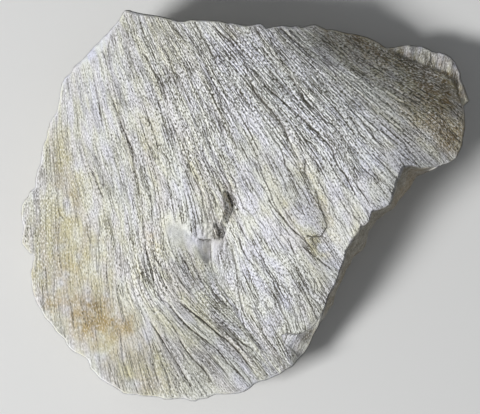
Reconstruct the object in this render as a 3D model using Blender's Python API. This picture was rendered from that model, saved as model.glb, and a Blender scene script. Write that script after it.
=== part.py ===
"""Shatter cone hand specimen: one broken fragment of fine-grained limestone.

The fragment lies on its flat broken back with the striated shatter-cone face up.
It is one solid.  +Z is up, +X runs along the longest extent, and the origin is the
middle of the box's underside.

The plan of the fragment is drawn on a sheet whose u runs right (+X) and whose v runs
down (-Y), PLAN_PER_MM units to the millimetre.  Heights are millimetres above the bed.
"""
import bpy
import bmesh
import numpy as np
from mathutils import Vector, noise

# ----------------------------------------------------------------- driving dimensions
MM = 0.001                 # metres per millimetre
PLAN_PER_MM = 3.0          # plan sheet units per millimetre
PLAN_CENTRE = (245.5, 206.5)
LENGTH_MM = 150.0          # along X, left shoulder to right tip
WIDTH_MM = 130.3           # along Y, apex to lower rim
CREST_MM = 37.0            # highest point of the face above the bed

FACE_CELLS = (44, 42)      # face mesh: cells along the upper and lower edge, along the two sides
WALL_RINGS = 7             # rings down the broken side walls
RIM_MM = 0.8               # width of the thin bevel that runs round the face
BEVEL_DROP_MM = 1.2        # height lost across that bevel
BED_SHRINK = 0.96          # size of the bed outline against the widest outline
BED_SMOOTH = 3.0           # rounding of the bed outline, in boundary steps
WALL_ROUGH_MM = 1.5        # depth of the hollows in the broken walls
WALL_ROUGH_SCALE_MM = 11.0
FACET_REACH_MM = 24.0      # how far along the wall one broken facet reaches

CHIP_DEPTH_MM = 3.8        # drop at the torn edge of the upper sheet
CHIP_REACH = 27.0          # plan distance over which that hollow fades out
LEDGE_DROP_MM = 0.75       # lower ledge behind the right flank, below its brow
CORNER_SLOPE = 0.80        # steep broken facet at the lower right corner, and where it runs out
CORNER_SLOPE_END = 0.24
VALLEY_DEPTH_MM = 1.2      # crease between the main cone and the small parasitic cone
FLUTE_DEPTH_MM = 0.45      # broad flutes that fan out from the apex

# corners of the face mesh: apex, right tip, lower right corner, lower left shoulder
CORNERS = [(126, 11), (470.5, 100.5), (304, 355), (60, 336.5)]

# widest outline, clockwise from the apex; four numbers where the wall slopes out
# from under the face, and then the last two are the edge of the face itself
OUTLINE = [
    (126, 11), (136, 13), (150, 15.5), (160, 17), (172, 20), (179, 22), (192, 20.5), (208, 21),
    (221, 22), (235, 24), (247, 26.5), (259, 24.5), (266, 29), (276, 27), (291, 27), (301, 28),
    (311, 25), (315, 24.5), (327, 29.5), (337, 30), (347, 32.5), (360, 34.5), (376, 40), (387, 47),
    (396, 46), (409, 44), (423, 45), (433, 50), (447, 53), (456, 60.5), (462, 73), (465, 85),
    (469, 97), (470.5, 100.5), (464.5, 105.5), (465, 117), (465, 128), (463, 138), (459, 152),
    (456, 158, 455, 157.5), (449, 163, 449, 161.5), (440, 166, 440, 163.5), (430, 171, 430, 166.5),
    (423, 174.5, 420, 167.5), (418, 176, 409, 164.5), (413, 184, 399, 170), (406, 193, 394, 181),
    (399, 201, 391, 194), (394, 209, 388, 204), (381, 218, 376, 209), (375, 224, 369, 216),
    (369, 232, 364, 223.5), (366, 246, 357, 230), (358, 254, 348, 244), (351, 265, 344, 256),
    (345, 276, 339, 269), (340, 286, 335, 282), (335, 299, 328, 294), (330, 310, 324.5, 306),
    (321, 323, 318.5, 320),
    (313, 338), (308, 349), (304, 355), (293, 367), (280, 375), (266, 381), (254, 385), (245, 392),
    (227, 395), (216, 395), (207, 399), (195, 402), (185, 399.5), (170, 400), (160, 398), (150, 397),
    (140, 396.5), (129, 395), (120, 391.5), (107, 384), (94, 373), (87, 360), (74, 353), (66, 345),
    (60, 336.5), (53, 328), (44, 318), (36, 304), (31, 287), (30, 276), (32, 262), (33.5, 257),
    (30, 255), (26, 250), (21, 240), (23, 227), (20.5, 211), (24, 200), (34, 188), (35, 187),
    (37, 170), (41, 155), (46, 138), (49, 126), (53, 117), (59, 100), (62, 83), (71, 73),
    (82, 60.5), (89, 53), (99, 43), (108, 34), (116, 25), (123, 14),
]

# heights of the face above the bed, in mm, at plan points
HEIGHTS = [
    # rim
    (126, 14, 31.0), (108, 36, 29.0), (94, 50, 27.5), (62, 88, 24.5), (48, 130, 22.5), (36, 180, 21.0),
    (22, 230, 19.5), (31, 285, 19.0), (55, 330, 19.0), (90, 366, 19.5), (140, 394, 20.0),
    (200, 398, 18.5), (255, 385, 17.5), (290, 366, 17.0), (312, 334, 19.5), (318, 322, 21.0),
    (328, 298, 24.5), (336, 275, 27.0), (345, 250, 30.5), (368, 222, 34.9), (390, 200, 35.1),
    (400, 168, 34.6), (430, 166, 28.5), (455, 155, 25.2), (463, 125, 24.4), (462, 104, 19.0),
    (458, 92, 17.0), (447, 73, 15.2), (426, 66, 14.8), (404, 56, 14.8), (385, 47, 14.8),
    (360, 35, 16.8), (335, 31, 21.0), (310, 27, 25.8), (280, 28, 30.4), (250, 27, 32.2),
    (215, 23, 32.4), (180, 22, 32.0), (150, 17, 31.5),
    # upper flank and crest
    (110, 70, 29.3), (170, 70, 31.2), (230, 70, 33.0), (280, 70, 33.1), (330, 68, 30.9), (360, 65, 25.8),
    (390, 66, 20.4), (110, 110, 28.0), (170, 110, 31.2), (230, 110, 34.1), (290, 110, 35.2),
    (350, 108, 34.0), (390, 108, 30.8), (430, 105, 25.0), (110, 150, 27.2), (170, 150, 31.2),
    (230, 150, 34.6), (290, 150, 36.2), (350, 150, 36.6), (400, 146, 34.0), (438, 140, 28.8),
    (110, 190, 26.6), (170, 190, 30.6), (230, 190, 32.6), (290, 190, 35.2), (350, 190, 36.7),
    # lower face
    (60, 230, 21.4), (110, 230, 24.5), (160, 230, 27.0), (200, 230, 28.7), (250, 230, 29.2),
    (300, 230, 33.0), (340, 235, 33.2), (70, 270, 20.8), (110, 270, 22.7), (150, 270, 23.8),
    (190, 270, 22.4), (213, 270, 21.7), (240, 270, 23.2), (280, 270, 28.0), (320, 270, 28.8),
    (60, 310, 19.8), (110, 310, 20.4), (150, 310, 20.7), (190, 310, 19.7), (225, 310, 18.5),
    (250, 310, 19.4), (290, 310, 22.2), (85, 345, 20.0), (130, 345, 21.0), (170, 345, 20.4),
    (210, 345, 18.6), (245, 345, 17.4), (285, 345, 18.0), (110, 375, 20.5), (160, 375, 20.3),
    (200, 375, 19.3), (240, 375, 18.0),
]

# torn lower edge of the upper sheet: the brow where the drop starts and the foot where it ends,
# both walked with the upper sheet on the right-hand side
CHIP_BROW = [(225, 188), (224, 204), (221, 215), (213, 223), (203, 223.5), (188, 223.5), (176, 220.5), (163, 221)]
CHIP_FOOT = [(226, 188), (232.5, 200), (233, 209), (228.5, 220), (225.5, 234), (222, 239), (198, 239), (189, 231),
             (176, 225.5), (163, 223)]
# the raised second sheet and the small tongue beside it, each as brow, foot, depth and reach
SHEETS = [
    ([(305.5, 155), (303, 170), (309, 189), (316, 200), (321.5, 216), (325, 225), (321, 235), (311, 238), (306, 236)],
     [(309, 155), (307, 170), (313, 187), (320, 199), (325, 215), (329, 225), (324, 238), (310, 242), (304, 239)],
     0.85, 11.0),
    ([(273, 152), (280, 176), (284, 195), (276, 197)], [(276, 151), (284, 175), (288, 197), (275, 201)], 0.5, 9.0),
]
# valley of the small parasitic cone
VALLEY = [(210, 240), (213, 267), (218, 283), (229, 299), (238, 318), (249, 336), (264, 352)]
# brow that hides the lower ledge, from the upper rim to the right tip
LEDGE_BROW = [(383, 43.5), (387, 48), (398, 53), (412, 60), (426, 66), (437, 69), (447, 73), (453, 78), (458, 89),
              (461, 100), (466, 107)]
# broken facets that undercut the walls: plan point on the outline, bearing of the facet in
# degrees from +X, its lean in degrees, and the height in mm at which it meets the wall
FACETS = [
    (24, 200, 180, 28, 14), (45, 140, 160, 18, 13), (75, 65, 140, 35, 17), (112, 28, 128, 15, 20),
    (170, 19, 93, 24, 22), (240, 25, 85, 12, 15), (300, 27, 95, 30, 16), (370, 37, 65, 26, 12),
    (430, 47, 75, 36, 9), (463, 80, 10, 30, 9), (464, 130, -10, 20, 12), (438, 167, -70, 24, 12),
    (385, 214, -48, 38, 9), (345, 276, -25, 32, 9), (318, 330, -20, 20, 10), (285, 372, -60, 36, 11),
    (230, 395, -85, 16, 12), (170, 400, -92, 34, 12), (100, 380, -125, 26, 13), (55, 332, -140, 36, 13),
    (31, 285, -170, 16, 11),
]
# lines along the fan of striations, from the far left to the far right
FAN = [
    [(60, 95), (60, 330)], [(100, 70), (104, 200), (108, 380)], [(124, 30), (133, 158), (141, 300), (155, 395)],
    [(138, 17), (162, 87), (185, 160), (205, 215)], [(190, 20), (216, 62), (259, 182), (303, 239), (320, 262)],
    [(212, 24), (249, 69), (309, 127), (357, 199)], [(256, 31), (297, 89), (365, 160), (392, 190)],
    [(315, 30), (372, 90), (440, 150)], [(345, 36), (400, 75), (460, 112)],
]


# ----------------------------------------------------------------- plan geometry helpers
def arc_positions(points):
    """Distance along an open run of points, starting at zero."""
    p = np.asarray(points, float)
    return np.concatenate([[0.0], np.cumsum(np.linalg.norm(np.diff(p, axis=0), axis=1))])


def spread(points, count, paired=None):
    """count + 1 points spread evenly along an open run, and along a paired run with the same share."""
    s = arc_positions(points)
    t = np.linspace(0.0, s[-1], count + 1)
    p = np.asarray(points, float)
    out = np.stack([np.interp(t, s, p[:, k]) for k in range(2)], axis=1)
    if paired is None:
        return out
    q = np.asarray(paired, float)
    return out, np.stack([np.interp(t, s, q[:, k]) for k in range(2)], axis=1)


def polyline_distance(u, v, line):
    """Distance to an open polyline, the side (positive on the right of the walk) and the share walked."""
    p = np.asarray(line, float)
    s = arc_positions(p)
    best = np.full(u.shape, 1e9)
    side = np.zeros(u.shape)
    share = np.zeros(u.shape)
    for k in range(len(p) - 1):
        a, b = p[k], p[k + 1]
        d = b - a
        length2 = float(d @ d)
        t = np.clip(((u - a[0]) * d[0] + (v - a[1]) * d[1]) / length2, 0.0, 1.0)
        du, dv = u - (a[0] + t * d[0]), v - (a[1] + t * d[1])
        dist = np.hypot(du, dv)
        near = dist < best - 1e-9
        best = np.where(near, dist, best)
        side = np.where(near, np.sign(d[0] * dv - d[1] * du), side)
        share = np.where(near, (s[k] + t * np.sqrt(length2)) / s[-1], share)
    return best, side, share


def smooth_step(x):
    x = np.clip(x, 0.0, 1.0)
    return x * x * (3.0 - 2.0 * x)


def plate_spline(points):
    """Thin-plate surface through scattered heights."""
    p = np.asarray(points, float)
    xy, z = p[:, :2] / 100.0, p[:, 2]
    r2 = ((xy[:, None] - xy[None]) ** 2).sum(2)
    kernel = 0.5 * r2 * np.log(r2 + 1e-12)
    n = len(p)
    flat = np.hstack([np.ones((n, 1)), xy])
    system = np.zeros((n + 3, n + 3))
    system[:n, :n] = kernel + 1e-3 * np.eye(n)
    system[:n, n:] = flat
    system[n:, :n] = flat.T
    weights = np.linalg.solve(system, np.concatenate([z, np.zeros(3)]))

    def surface(u, v):
        q = np.stack([u, v], -1) / 100.0
        out = weights[n] + weights[n + 1] * q[..., 0] + weights[n + 2] * q[..., 1]
        for k in range(n):
            d2 = (q[..., 0] - xy[k, 0]) ** 2 + (q[..., 1] - xy[k, 1]) ** 2
            out = out + weights[k] * 0.5 * d2 * np.log(d2 + 1e-12)
        return out
    return surface


def drop_share(u, v, brow, foot):
    """0 on the upper sheet, 1 beyond the foot and ramped between, with the distances to both lines."""
    brow_dist, brow_side, share = polyline_distance(u, v, brow)
    foot_dist, foot_side, _ = polyline_distance(u, v, foot)
    ramp = brow_dist / (brow_dist + foot_dist + 1e-6)
    fall = np.where(brow_side > 0, 0.0, np.where(foot_side < 0, 1.0, ramp))
    return fall, brow_dist, foot_dist, share


# ----------------------------------------------------------------- height of the upper side
BASE_SURFACE = plate_spline(HEIGHTS)


def face_height(u, v):
    """Height in mm of everything that shows from above."""
    z = BASE_SURFACE(u, v)
    # broad flutes: low ridges between the lines of the fan
    reach = np.full(u.shape, 1e9)
    for line in FAN:
        reach = np.minimum(reach, polyline_distance(u, v, line)[0])
    z = z - FLUTE_DEPTH_MM * np.exp(-(reach / 9.0) ** 2)
    # the torn edge in the middle of the face
    fall, brow_dist, foot_dist, share = drop_share(u, v, CHIP_BROW, CHIP_FOOT)
    # it dies out at both ends, and below the foot it fades over a fan that opens with the distance
    past, under = np.maximum(0.0, u - 229.0), np.maximum(0.0, v - 232.0)
    below = (smooth_step((v - 187.0 + 0.25 * past) / (9.0 + 0.55 * past))
             * smooth_step((u - 164.0 + 0.10 * under) / (24.0 + 0.30 * under)))
    ends = smooth_step(share / 0.07) * smooth_step((1.0 - share) / 0.30)
    ends = ends + (below - ends) * smooth_step(fall)
    z = z - CHIP_DEPTH_MM * ends * fall * np.exp(-np.where(fall >= 1.0, foot_dist, 0.0) / CHIP_REACH)
    z = z + 0.5 * ends * np.where(fall <= 0.0, np.exp(-brow_dist / 7.0), 1.0 - fall)
    # thin sheets
    for brow, foot, depth, reach in SHEETS:
        fall, brow_dist, foot_dist, share = drop_share(u, v, brow, foot)
        ends = smooth_step(share / 0.15) * smooth_step((1.0 - share) / 0.15)
        near = np.minimum(brow_dist, foot_dist) < 40.0
        z = z - near * depth * ends * fall * np.exp(-np.where(fall >= 1.0, foot_dist, 0.0) / reach)
    # crease of the parasitic cone
    dist, side, share = polyline_distance(u, v, VALLEY)
    ends = smooth_step(share / 0.1) * smooth_step((1.0 - share) / 0.3)
    z = z - VALLEY_DEPTH_MM * ends * np.maximum(0.0, 1.0 - dist / 16.0)
    # broken corner: a facet falling away from the line (325, 308) to (297, 335)
    out = (u - 325.0) * 0.694 + (v - 308.0) * 0.72
    down = -(u - 325.0) * 0.72 + (v - 308.0) * 0.694
    steep = CORNER_SLOPE - (CORNER_SLOPE - CORNER_SLOPE_END) * smooth_step((down - 46.0) / 18.0)
    steep = steep * smooth_step((down + 4.0) / 6.0)
    z = z - steep * np.maximum(0.0, out) / PLAN_PER_MM * smooth_step((75.0 - down) / 20.0)
    # lower ledge behind the brow of the right flank, nearly level from the foot of the brow
    dist, side, share = polyline_distance(u, v, LEDGE_BROW)
    s = arc_positions(LEDGE_BROW)
    p = np.asarray(LEDGE_BROW, float)
    brow_z = BASE_SURFACE(np.interp(share * s[-1], s, p[:, 0]), np.interp(share * s[-1], s, p[:, 1]))
    ends = smooth_step(share / 0.04) * smooth_step((1.0 - share) / 0.06)
    behind = smooth_step(0.5 - 0.5 * side * dist / 1.3) * ends
    shelf = brow_z - LEDGE_DROP_MM - 0.02 * dist
    z = np.where(dist < 40.0, z + (shelf - z) * behind, z)
    return np.minimum(z, CREST_MM)


# ----------------------------------------------------------------- face mesh by elliptic relaxation
def boundary_runs():
    """Outline and face edge as four paired runs between the corners, and the loop of both."""
    outer = [p[:2] for p in OUTLINE]
    n = len(outer)
    o = np.asarray(outer, float)
    tangent = np.roll(o, -1, 0) - np.roll(o, 1, 0)
    tangent /= np.linalg.norm(tangent, axis=1)[:, None]
    inward = np.stack([-tangent[:, 1], tangent[:, 0]], 1)
    inner = o + inward * RIM_MM * PLAN_PER_MM
    for k, p in enumerate(OUTLINE):
        if len(p) == 4:
            inner[k] = p[2:]
    marks = [outer.index(c) for c in CORNERS] + [n]
    counts = [FACE_CELLS[0], FACE_CELLS[1], FACE_CELLS[0], FACE_CELLS[1]]
    runs = []
    for k in range(4):
        ids = [i % n for i in range(marks[k], marks[k + 1] + 1)]
        runs.append(spread(o[ids], counts[k], inner[ids]))
    return runs


def pin_extremes(loop):
    """Move the nearest boundary sample onto each outermost point so that the overall size is exact."""
    o = np.asarray([p[:2] for p in OUTLINE], float)
    for target in (o[o[:, 0].argmin()], o[o[:, 0].argmax()], o[o[:, 1].argmin()], o[o[:, 1].argmax()]):
        loop[((loop - target) ** 2).sum(1).argmin()] = target
    return loop


def relaxed_grid(runs, passes=1500):
    """Inner points of the face: a grid between the four edge runs, relaxed until its cells are even."""
    top, right, bottom, left = [r[1] for r in runs]
    nu, nv = len(top) - 1, len(right) - 1
    g = np.zeros((nu + 1, nv + 1, 2))
    bottom_r, left_r = bottom[::-1], left[::-1]
    a = np.linspace(0, 1, nu + 1)[:, None, None]
    b = np.linspace(0, 1, nv + 1)[None, :, None]
    g = ((1 - b) * top[:, None] + b * bottom_r[:, None] + (1 - a) * left_r[None] + a * right[None]
         - (1 - a) * (1 - b) * top[0] - a * (1 - b) * top[-1]
         - (1 - a) * b * bottom_r[0] - a * b * bottom_r[-1])
    for _ in range(passes):
        e, w = g[2:, 1:-1], g[:-2, 1:-1]
        s, n = g[1:-1, 2:], g[1:-1, :-2]
        d1, d2 = (e - w) * 0.5, (s - n) * 0.5
        cross = (g[2:, 2:] - g[2:, :-2] - g[:-2, 2:] + g[:-2, :-2]) * 0.25
        alpha = (d2 ** 2).sum(-1, keepdims=True) + 1e-3
        gamma = (d1 ** 2).sum(-1, keepdims=True) + 1e-3
        beta = (d1 * d2).sum(-1, keepdims=True)
        g[1:-1, 1:-1] = 0.5 * (alpha * (e + w) + gamma * (s + n) - 2.0 * beta * cross) / (alpha + gamma)
    return g


def loop_blur(loop, width):
    """Rounded copy of a closed loop of points."""
    reach = int(3 * width)
    out = np.zeros_like(loop)
    total = 0.0
    for k in range(-reach, reach + 1):
        w = np.exp(-0.5 * (k / width) ** 2)
        out += w * np.roll(loop, k, 0)
        total += w
    return out / total


def facet_cut(co):
    """Move a wall point level inward until it is behind every broken facet near it."""
    x, y, z = co.x / MM, co.y / MM, co.z / MM
    for u, v, bearing, lean, start in FACETS:
        px, py = (u - PLAN_CENTRE[0]) / PLAN_PER_MM, (PLAN_CENTRE[1] - v) / PLAN_PER_MM
        near = np.hypot(x - px, y - py) / FACET_REACH_MM
        if near >= 1.0:
            continue
        cx, cy = np.cos(np.radians(bearing)), np.sin(np.radians(bearing))
        over = (x - px) * cx + (y - py) * cy - (z - start) * np.tan(np.radians(lean))
        if over > 0.0:
            push = over * smooth_step((1.0 - near) * 2.5)
            x, y = x - cx * push, y - cy * push
    return Vector((x * MM, y * MM, co.z))


def to_world(u, v, z_mm):
    return Vector(((u - PLAN_CENTRE[0]) / PLAN_PER_MM * MM, (PLAN_CENTRE[1] - v) / PLAN_PER_MM * MM, z_mm * MM))


# ----------------------------------------------------------------- build the solid
def build_stone():
    nu, nv = FACE_CELLS
    runs = boundary_runs()
    grid = relaxed_grid(runs)
    heights = face_height(grid[..., 0], grid[..., 1])
    # the crest itself lies on a mesh point
    heights[np.unravel_index(heights.argmax(), heights.shape)] = CREST_MM

    bm = bmesh.new()
    # the face starts as a flat grid primitive and takes its plan and height point by point
    bmesh.ops.create_grid(bm, x_segments=nu, y_segments=nv, size=1.0)
    face_index = {}
    for vert in bm.verts:
        i = int(round((vert.co.x + 1.0) * 0.5 * nu))
        j = int(round((1.0 - vert.co.y) * 0.5 * nv))
        face_index[(i, j)] = vert
    for (i, j), vert in face_index.items():
        vert.co = to_world(grid[i, j, 0], grid[i, j, 1], heights[i, j])

    # boundary in walking order, with its outline partner
    order = ([(i, 0) for i in range(nu)] + [(nu, j) for j in range(nv)]
             + [(i, nv) for i in range(nu, 0, -1)] + [(0, j) for j in range(nv, 0, -1)])
    outer = np.concatenate([r[0][:-1] for r in runs])
    inner = np.concatenate([r[1][:-1] for r in runs])
    outer = pin_extremes(outer)
    rim_z = np.array([heights[k] for k in order])
    gap = np.linalg.norm(outer - inner, axis=1)
    sloped = smooth_step((gap - 3.0) / 4.0)
    bed = loop_blur(outer, BED_SMOOTH)
    middle = bed.mean(0)
    bed = middle + (bed - middle) * BED_SHRINK

    # side walls: the open border is extruded ring by ring down to the bed
    ring_verts = [face_index[k] for k in order]
    count = len(order)
    widest_z = rim_z - BEVEL_DROP_MM * (1.0 - sloped) - sloped * rim_z * 0.62
    for ring in range(1, WALL_RINGS + 1):
        edges = [bm.edges.get((ring_verts[k], ring_verts[(k + 1) % count])) for k in range(count)]
        made = bmesh.ops.extrude_edge_only(bm, edges=edges)
        fresh = {v for v in made['geom'] if isinstance(v, bmesh.types.BMVert)}
        partner = []
        for vert in ring_verts:
            for edge in vert.link_edges:
                other = edge.other_vert(vert)
                if other in fresh:
                    partner.append(other)
                    break
        ring_verts = partner
        for k, vert in enumerate(ring_verts):
            if ring <= 2:
                share = ring / 2.0
                p = inner[k] + (outer[k] - inner[k]) * share
                z = rim_z[k] + (widest_z[k] - rim_z[k]) * (share ** (1.0 + 0.6 * (1.0 - sloped[k])))
                rough = 0.0
            else:
                share = (ring - 2) / (WALL_RINGS - 2)
                p = outer[k] + (bed[k] - outer[k]) * share ** 1.6
                z = widest_z[k] * (1.0 - share)
                rough = np.sin(np.pi * min(share * 1.15, 1.0))
            co = to_world(p[0], p[1], z)
            if rough > 0.0:
                depth = 0.5 + 0.5 * noise.noise(co * (1000.0 / WALL_ROUGH_SCALE_MM))
                inward = to_world(middle[0], middle[1], 0.0) - Vector((co.x, co.y, 0.0))
                co += inward.normalized() * (depth * rough * WALL_ROUGH_MM * 2.0 * MM)
            if ring > 2:
                co = facet_cut(co)
            vert.co = co
    # flat bed
    bed_face = bm.faces.new(list(ring_verts))
    bmesh.ops.recalc_face_normals(bm, faces=bm.faces)
    bm.normal_update()
    if bed_face.normal.z > 0.0:
        bmesh.ops.reverse_faces(bm, faces=bm.faces)
    mesh = bpy.data.meshes.new("shatter_cone")
    bm.to_mesh(mesh)
    bm.free()
    mesh.shade_smooth()
    mesh.set_sharp_from_angle(angle=0.6)
    return mesh


def limestone():
    material = bpy.data.materials.new("cream_limestone")
    material.use_nodes = True
    shader = material.node_tree.nodes["Principled BSDF"]
    shader.inputs["Base Color"].default_value = (0.62, 0.59, 0.52, 1.0)
    shader.inputs["Roughness"].default_value = 0.92
    shader.inputs["Metallic"].default_value = 0.0
    return material


def main():
    for obj in list(bpy.data.objects):
        bpy.data.objects.remove(obj, do_unlink=True)
    collection = bpy.data.collections.new("shatter_cone")
    bpy.context.scene.collection.children.link(collection)
    stone = bpy.data.objects.new("shatter_cone", build_stone())
    stone.data.materials.append(limestone())
    collection.objects.link(stone)


main()
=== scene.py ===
import bpy
import numpy as np
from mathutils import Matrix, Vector, noise


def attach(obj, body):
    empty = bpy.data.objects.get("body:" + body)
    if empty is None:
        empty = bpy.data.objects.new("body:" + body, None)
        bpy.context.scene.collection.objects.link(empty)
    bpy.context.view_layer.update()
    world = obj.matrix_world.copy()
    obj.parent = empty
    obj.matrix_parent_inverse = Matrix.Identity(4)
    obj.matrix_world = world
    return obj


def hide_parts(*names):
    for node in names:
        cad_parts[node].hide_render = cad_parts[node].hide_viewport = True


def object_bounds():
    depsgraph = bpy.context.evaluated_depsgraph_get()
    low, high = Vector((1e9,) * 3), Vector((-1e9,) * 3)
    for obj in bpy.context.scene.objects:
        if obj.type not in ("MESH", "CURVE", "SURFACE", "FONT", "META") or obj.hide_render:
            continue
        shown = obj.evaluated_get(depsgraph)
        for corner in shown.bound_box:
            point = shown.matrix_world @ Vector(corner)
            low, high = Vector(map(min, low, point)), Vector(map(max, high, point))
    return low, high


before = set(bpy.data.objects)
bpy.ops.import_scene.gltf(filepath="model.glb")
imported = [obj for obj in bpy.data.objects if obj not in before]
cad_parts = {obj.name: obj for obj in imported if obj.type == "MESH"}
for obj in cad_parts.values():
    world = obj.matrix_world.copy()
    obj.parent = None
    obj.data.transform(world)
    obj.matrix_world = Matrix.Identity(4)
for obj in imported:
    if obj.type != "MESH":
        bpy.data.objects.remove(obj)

# Shatter cone hand specimen: the looks.
#
# The stone is one mesh.  Its upper side is a fine relaxed grid whose height carries the crest, the
# flanks, the torn sheets and the striations; its walls and its back are broken stone.  Plan points
# are (u, v), u right and v down, 3 to the millimetre, as in the CAD source.
CAD_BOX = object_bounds()

MM = 0.001
PPM = 3.0                        # plan units per millimetre
CENTRE = (245.5, 206.5)
NU, NV = 264, 260                # cells of the face grid, both multiples of 4
RINGS = 16                       # rings down the walls
RIM_MM = 0.8
RNG = np.random.default_rng(20411)

CORNERS = [(126, 11), (470.5, 100.5), (304, 355), (60, 336.5)]
OUTLINE = [
    (126, 11), (130, 11), (136, 13), (143, 14.5), (150, 15.5), (160, 17), (172, 20), (179, 22), (185, 22),
    (192, 20.5), (201, 21), (208, 21), (215, 21.5), (221, 22), (228, 24), (235, 24), (241, 25.5), (247, 26.5),
    (254, 25.5), (259, 24.5), (263, 25.5), (266, 29), (271, 28), (276, 27), (282, 26), (291, 27), (298, 26),
    (301, 28), (306, 26.5), (311, 25), (315, 24.5), (321, 27), (327, 29.5), (331, 29), (337, 30), (342, 31.5),
    (347, 32.5), (353, 33), (360, 34.5), (368, 36.5), (376, 40), (380, 42), (383, 44.5), (387, 47), (396, 46),
    (403, 44.5), (409, 44), (414, 44.5), (423, 45), (430, 48), (433, 50), (436, 51), (441, 51), (447, 53),
    (452, 56), (456, 60.5), (459, 66), (462, 73), (462, 78), (465, 85), (467, 91), (469, 97), (470.5, 100.5),
    (469, 102), (464.5, 105.5), (465, 117), (465, 124), (465, 128), (463, 138), (462, 146), (459, 152), (456, 158, 455, 157.5),
    (449, 163, 449, 161.5), (440, 166, 440, 163.5), (430, 171, 430, 166.5), (423, 174.5, 420, 167.5), (418, 176, 409, 164.5), (415, 180, 401, 166), (413, 184, 399, 170), (411, 188, 397, 176), (406, 193, 394, 181),
    (402, 198, 393, 189), (399, 201, 391, 194), (397, 205, 390, 200), (394, 209, 388, 204), (386, 213.5, 382, 207), (381, 218, 376, 209), (377, 220, 370, 210.5), (375, 224, 369, 216), (372, 228, 368, 220),
    (369, 232, 364, 223.5), (368, 239, 359, 225.5), (366, 246, 357, 230), (363, 251, 352, 236), (358, 254, 348, 244), (353, 259, 344, 251), (351, 265, 344, 256), (347, 270, 342, 262), (345, 276, 339, 269),
    (343, 281, 337.5, 276), (340, 286, 335, 282), (337, 292, 332, 288), (335, 299, 328, 294), (334, 305, 326, 300), (330, 310, 324.5, 306), (326, 317, 322, 313.5), (321, 323, 318.5, 320), (317, 330, 315, 328),
    (313, 338), (311, 344), (308, 349), (304, 355), (298, 361), (293, 367), (287, 370), (280, 375), (275, 377),
    (266, 381), (260, 382), (254, 385), (250, 389), (245, 392), (239, 394), (227, 395), (216, 395), (213, 396),
    (207, 399), (199, 400), (195, 402), (190, 401.5), (185, 399.5), (180, 399), (170, 400), (164, 400), (160, 398),
    (150, 397), (140, 396.5), (136, 395), (129, 395), (123, 394), (120, 391.5), (112, 386.5), (107, 384), (99, 379),
    (94, 373), (90, 369), (89, 365), (87, 360), (81, 356), (74, 353), (70, 350), (66, 345), (64, 340),
    (60, 336.5), (55, 332), (53, 328), (49, 323), (44, 318), (40, 310), (36, 304), (33, 296), (31, 287),
    (30, 276), (30, 271), (32, 267), (32, 262), (33.5, 257), (32, 254), (30, 255), (26, 250), (21, 244),
    (21, 240), (22, 232), (23, 227), (21, 220), (20.5, 211), (21, 205), (24, 200), (28, 196), (29, 192),
    (34, 188), (35, 187), (35, 179), (37, 170), (40, 164), (41, 155), (42, 147), (46, 138), (47, 131),
    (49, 126), (49, 123), (53, 117), (56, 113), (57, 110), (59, 100), (60, 91), (62, 83), (65, 78),
    (71, 73), (74, 67), (82, 60.5), (89, 53), (94, 47), (99, 43), (103, 38), (108, 34), (111, 30),
    (116, 25), (120, 20), (123, 14),
]

HEIGHTS = [
    # rim
    (126, 14, 31.0), (108, 36, 29.0), (94, 50, 27.5), (62, 88, 24.5), (48, 130, 22.5), (36, 180, 21.0),
    (22, 230, 19.5), (31, 285, 19.0), (55, 330, 19.0), (90, 366, 19.5), (140, 394, 20.0),
    (200, 398, 18.5), (255, 385, 17.5), (290, 366, 17.0), (312, 334, 19.5), (318, 322, 21.0),
    (328, 298, 24.5), (336, 275, 27.0), (345, 250, 30.5), (368, 222, 34.9), (390, 200, 35.1),
    (400, 168, 34.6), (430, 166, 28.5), (455, 155, 25.2), (463, 125, 24.4), (462, 104, 19.0),
    (458, 92, 17.0), (447, 73, 15.2), (426, 66, 14.8), (404, 56, 14.8), (385, 47, 14.8),
    (360, 35, 16.8), (335, 31, 21.0), (310, 27, 25.8), (280, 28, 30.4), (250, 27, 32.2),
    (215, 23, 32.4), (180, 22, 32.0), (150, 17, 31.5),
    # upper flank and crest
    (110, 70, 29.3), (170, 70, 31.2), (230, 70, 33.0), (280, 70, 33.1), (330, 68, 30.9), (360, 65, 25.8),
    (390, 66, 20.4), (110, 110, 28.0), (170, 110, 31.2), (230, 110, 34.1), (290, 110, 35.2),
    (350, 108, 34.0), (390, 108, 30.8), (430, 105, 25.0), (110, 150, 27.2), (170, 150, 31.2),
    (230, 150, 34.6), (290, 150, 36.2), (350, 150, 36.6), (400, 146, 34.0), (438, 140, 28.8),
    (110, 190, 26.6), (170, 190, 30.6), (230, 190, 32.6), (290, 190, 35.2), (350, 190, 36.7),
    # lower face
    (60, 230, 21.4), (110, 230, 24.5), (160, 230, 27.0), (200, 230, 28.7), (250, 230, 29.2),
    (300, 230, 33.0), (340, 235, 33.2), (70, 270, 20.8), (110, 270, 22.7), (150, 270, 23.8),
    (190, 270, 22.4), (213, 270, 21.7), (240, 270, 23.2), (280, 270, 28.0), (320, 270, 28.8),
    (60, 310, 19.8), (110, 310, 20.4), (150, 310, 20.7), (190, 310, 19.7), (225, 310, 18.5),
    (250, 310, 19.4), (290, 310, 22.2), (85, 345, 20.0), (130, 345, 21.0), (170, 345, 20.4),
    (210, 345, 18.6), (245, 345, 17.4), (285, 345, 18.0), (110, 375, 20.5), (160, 375, 20.3),
    (200, 375, 19.3), (240, 375, 18.0),
]
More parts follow.
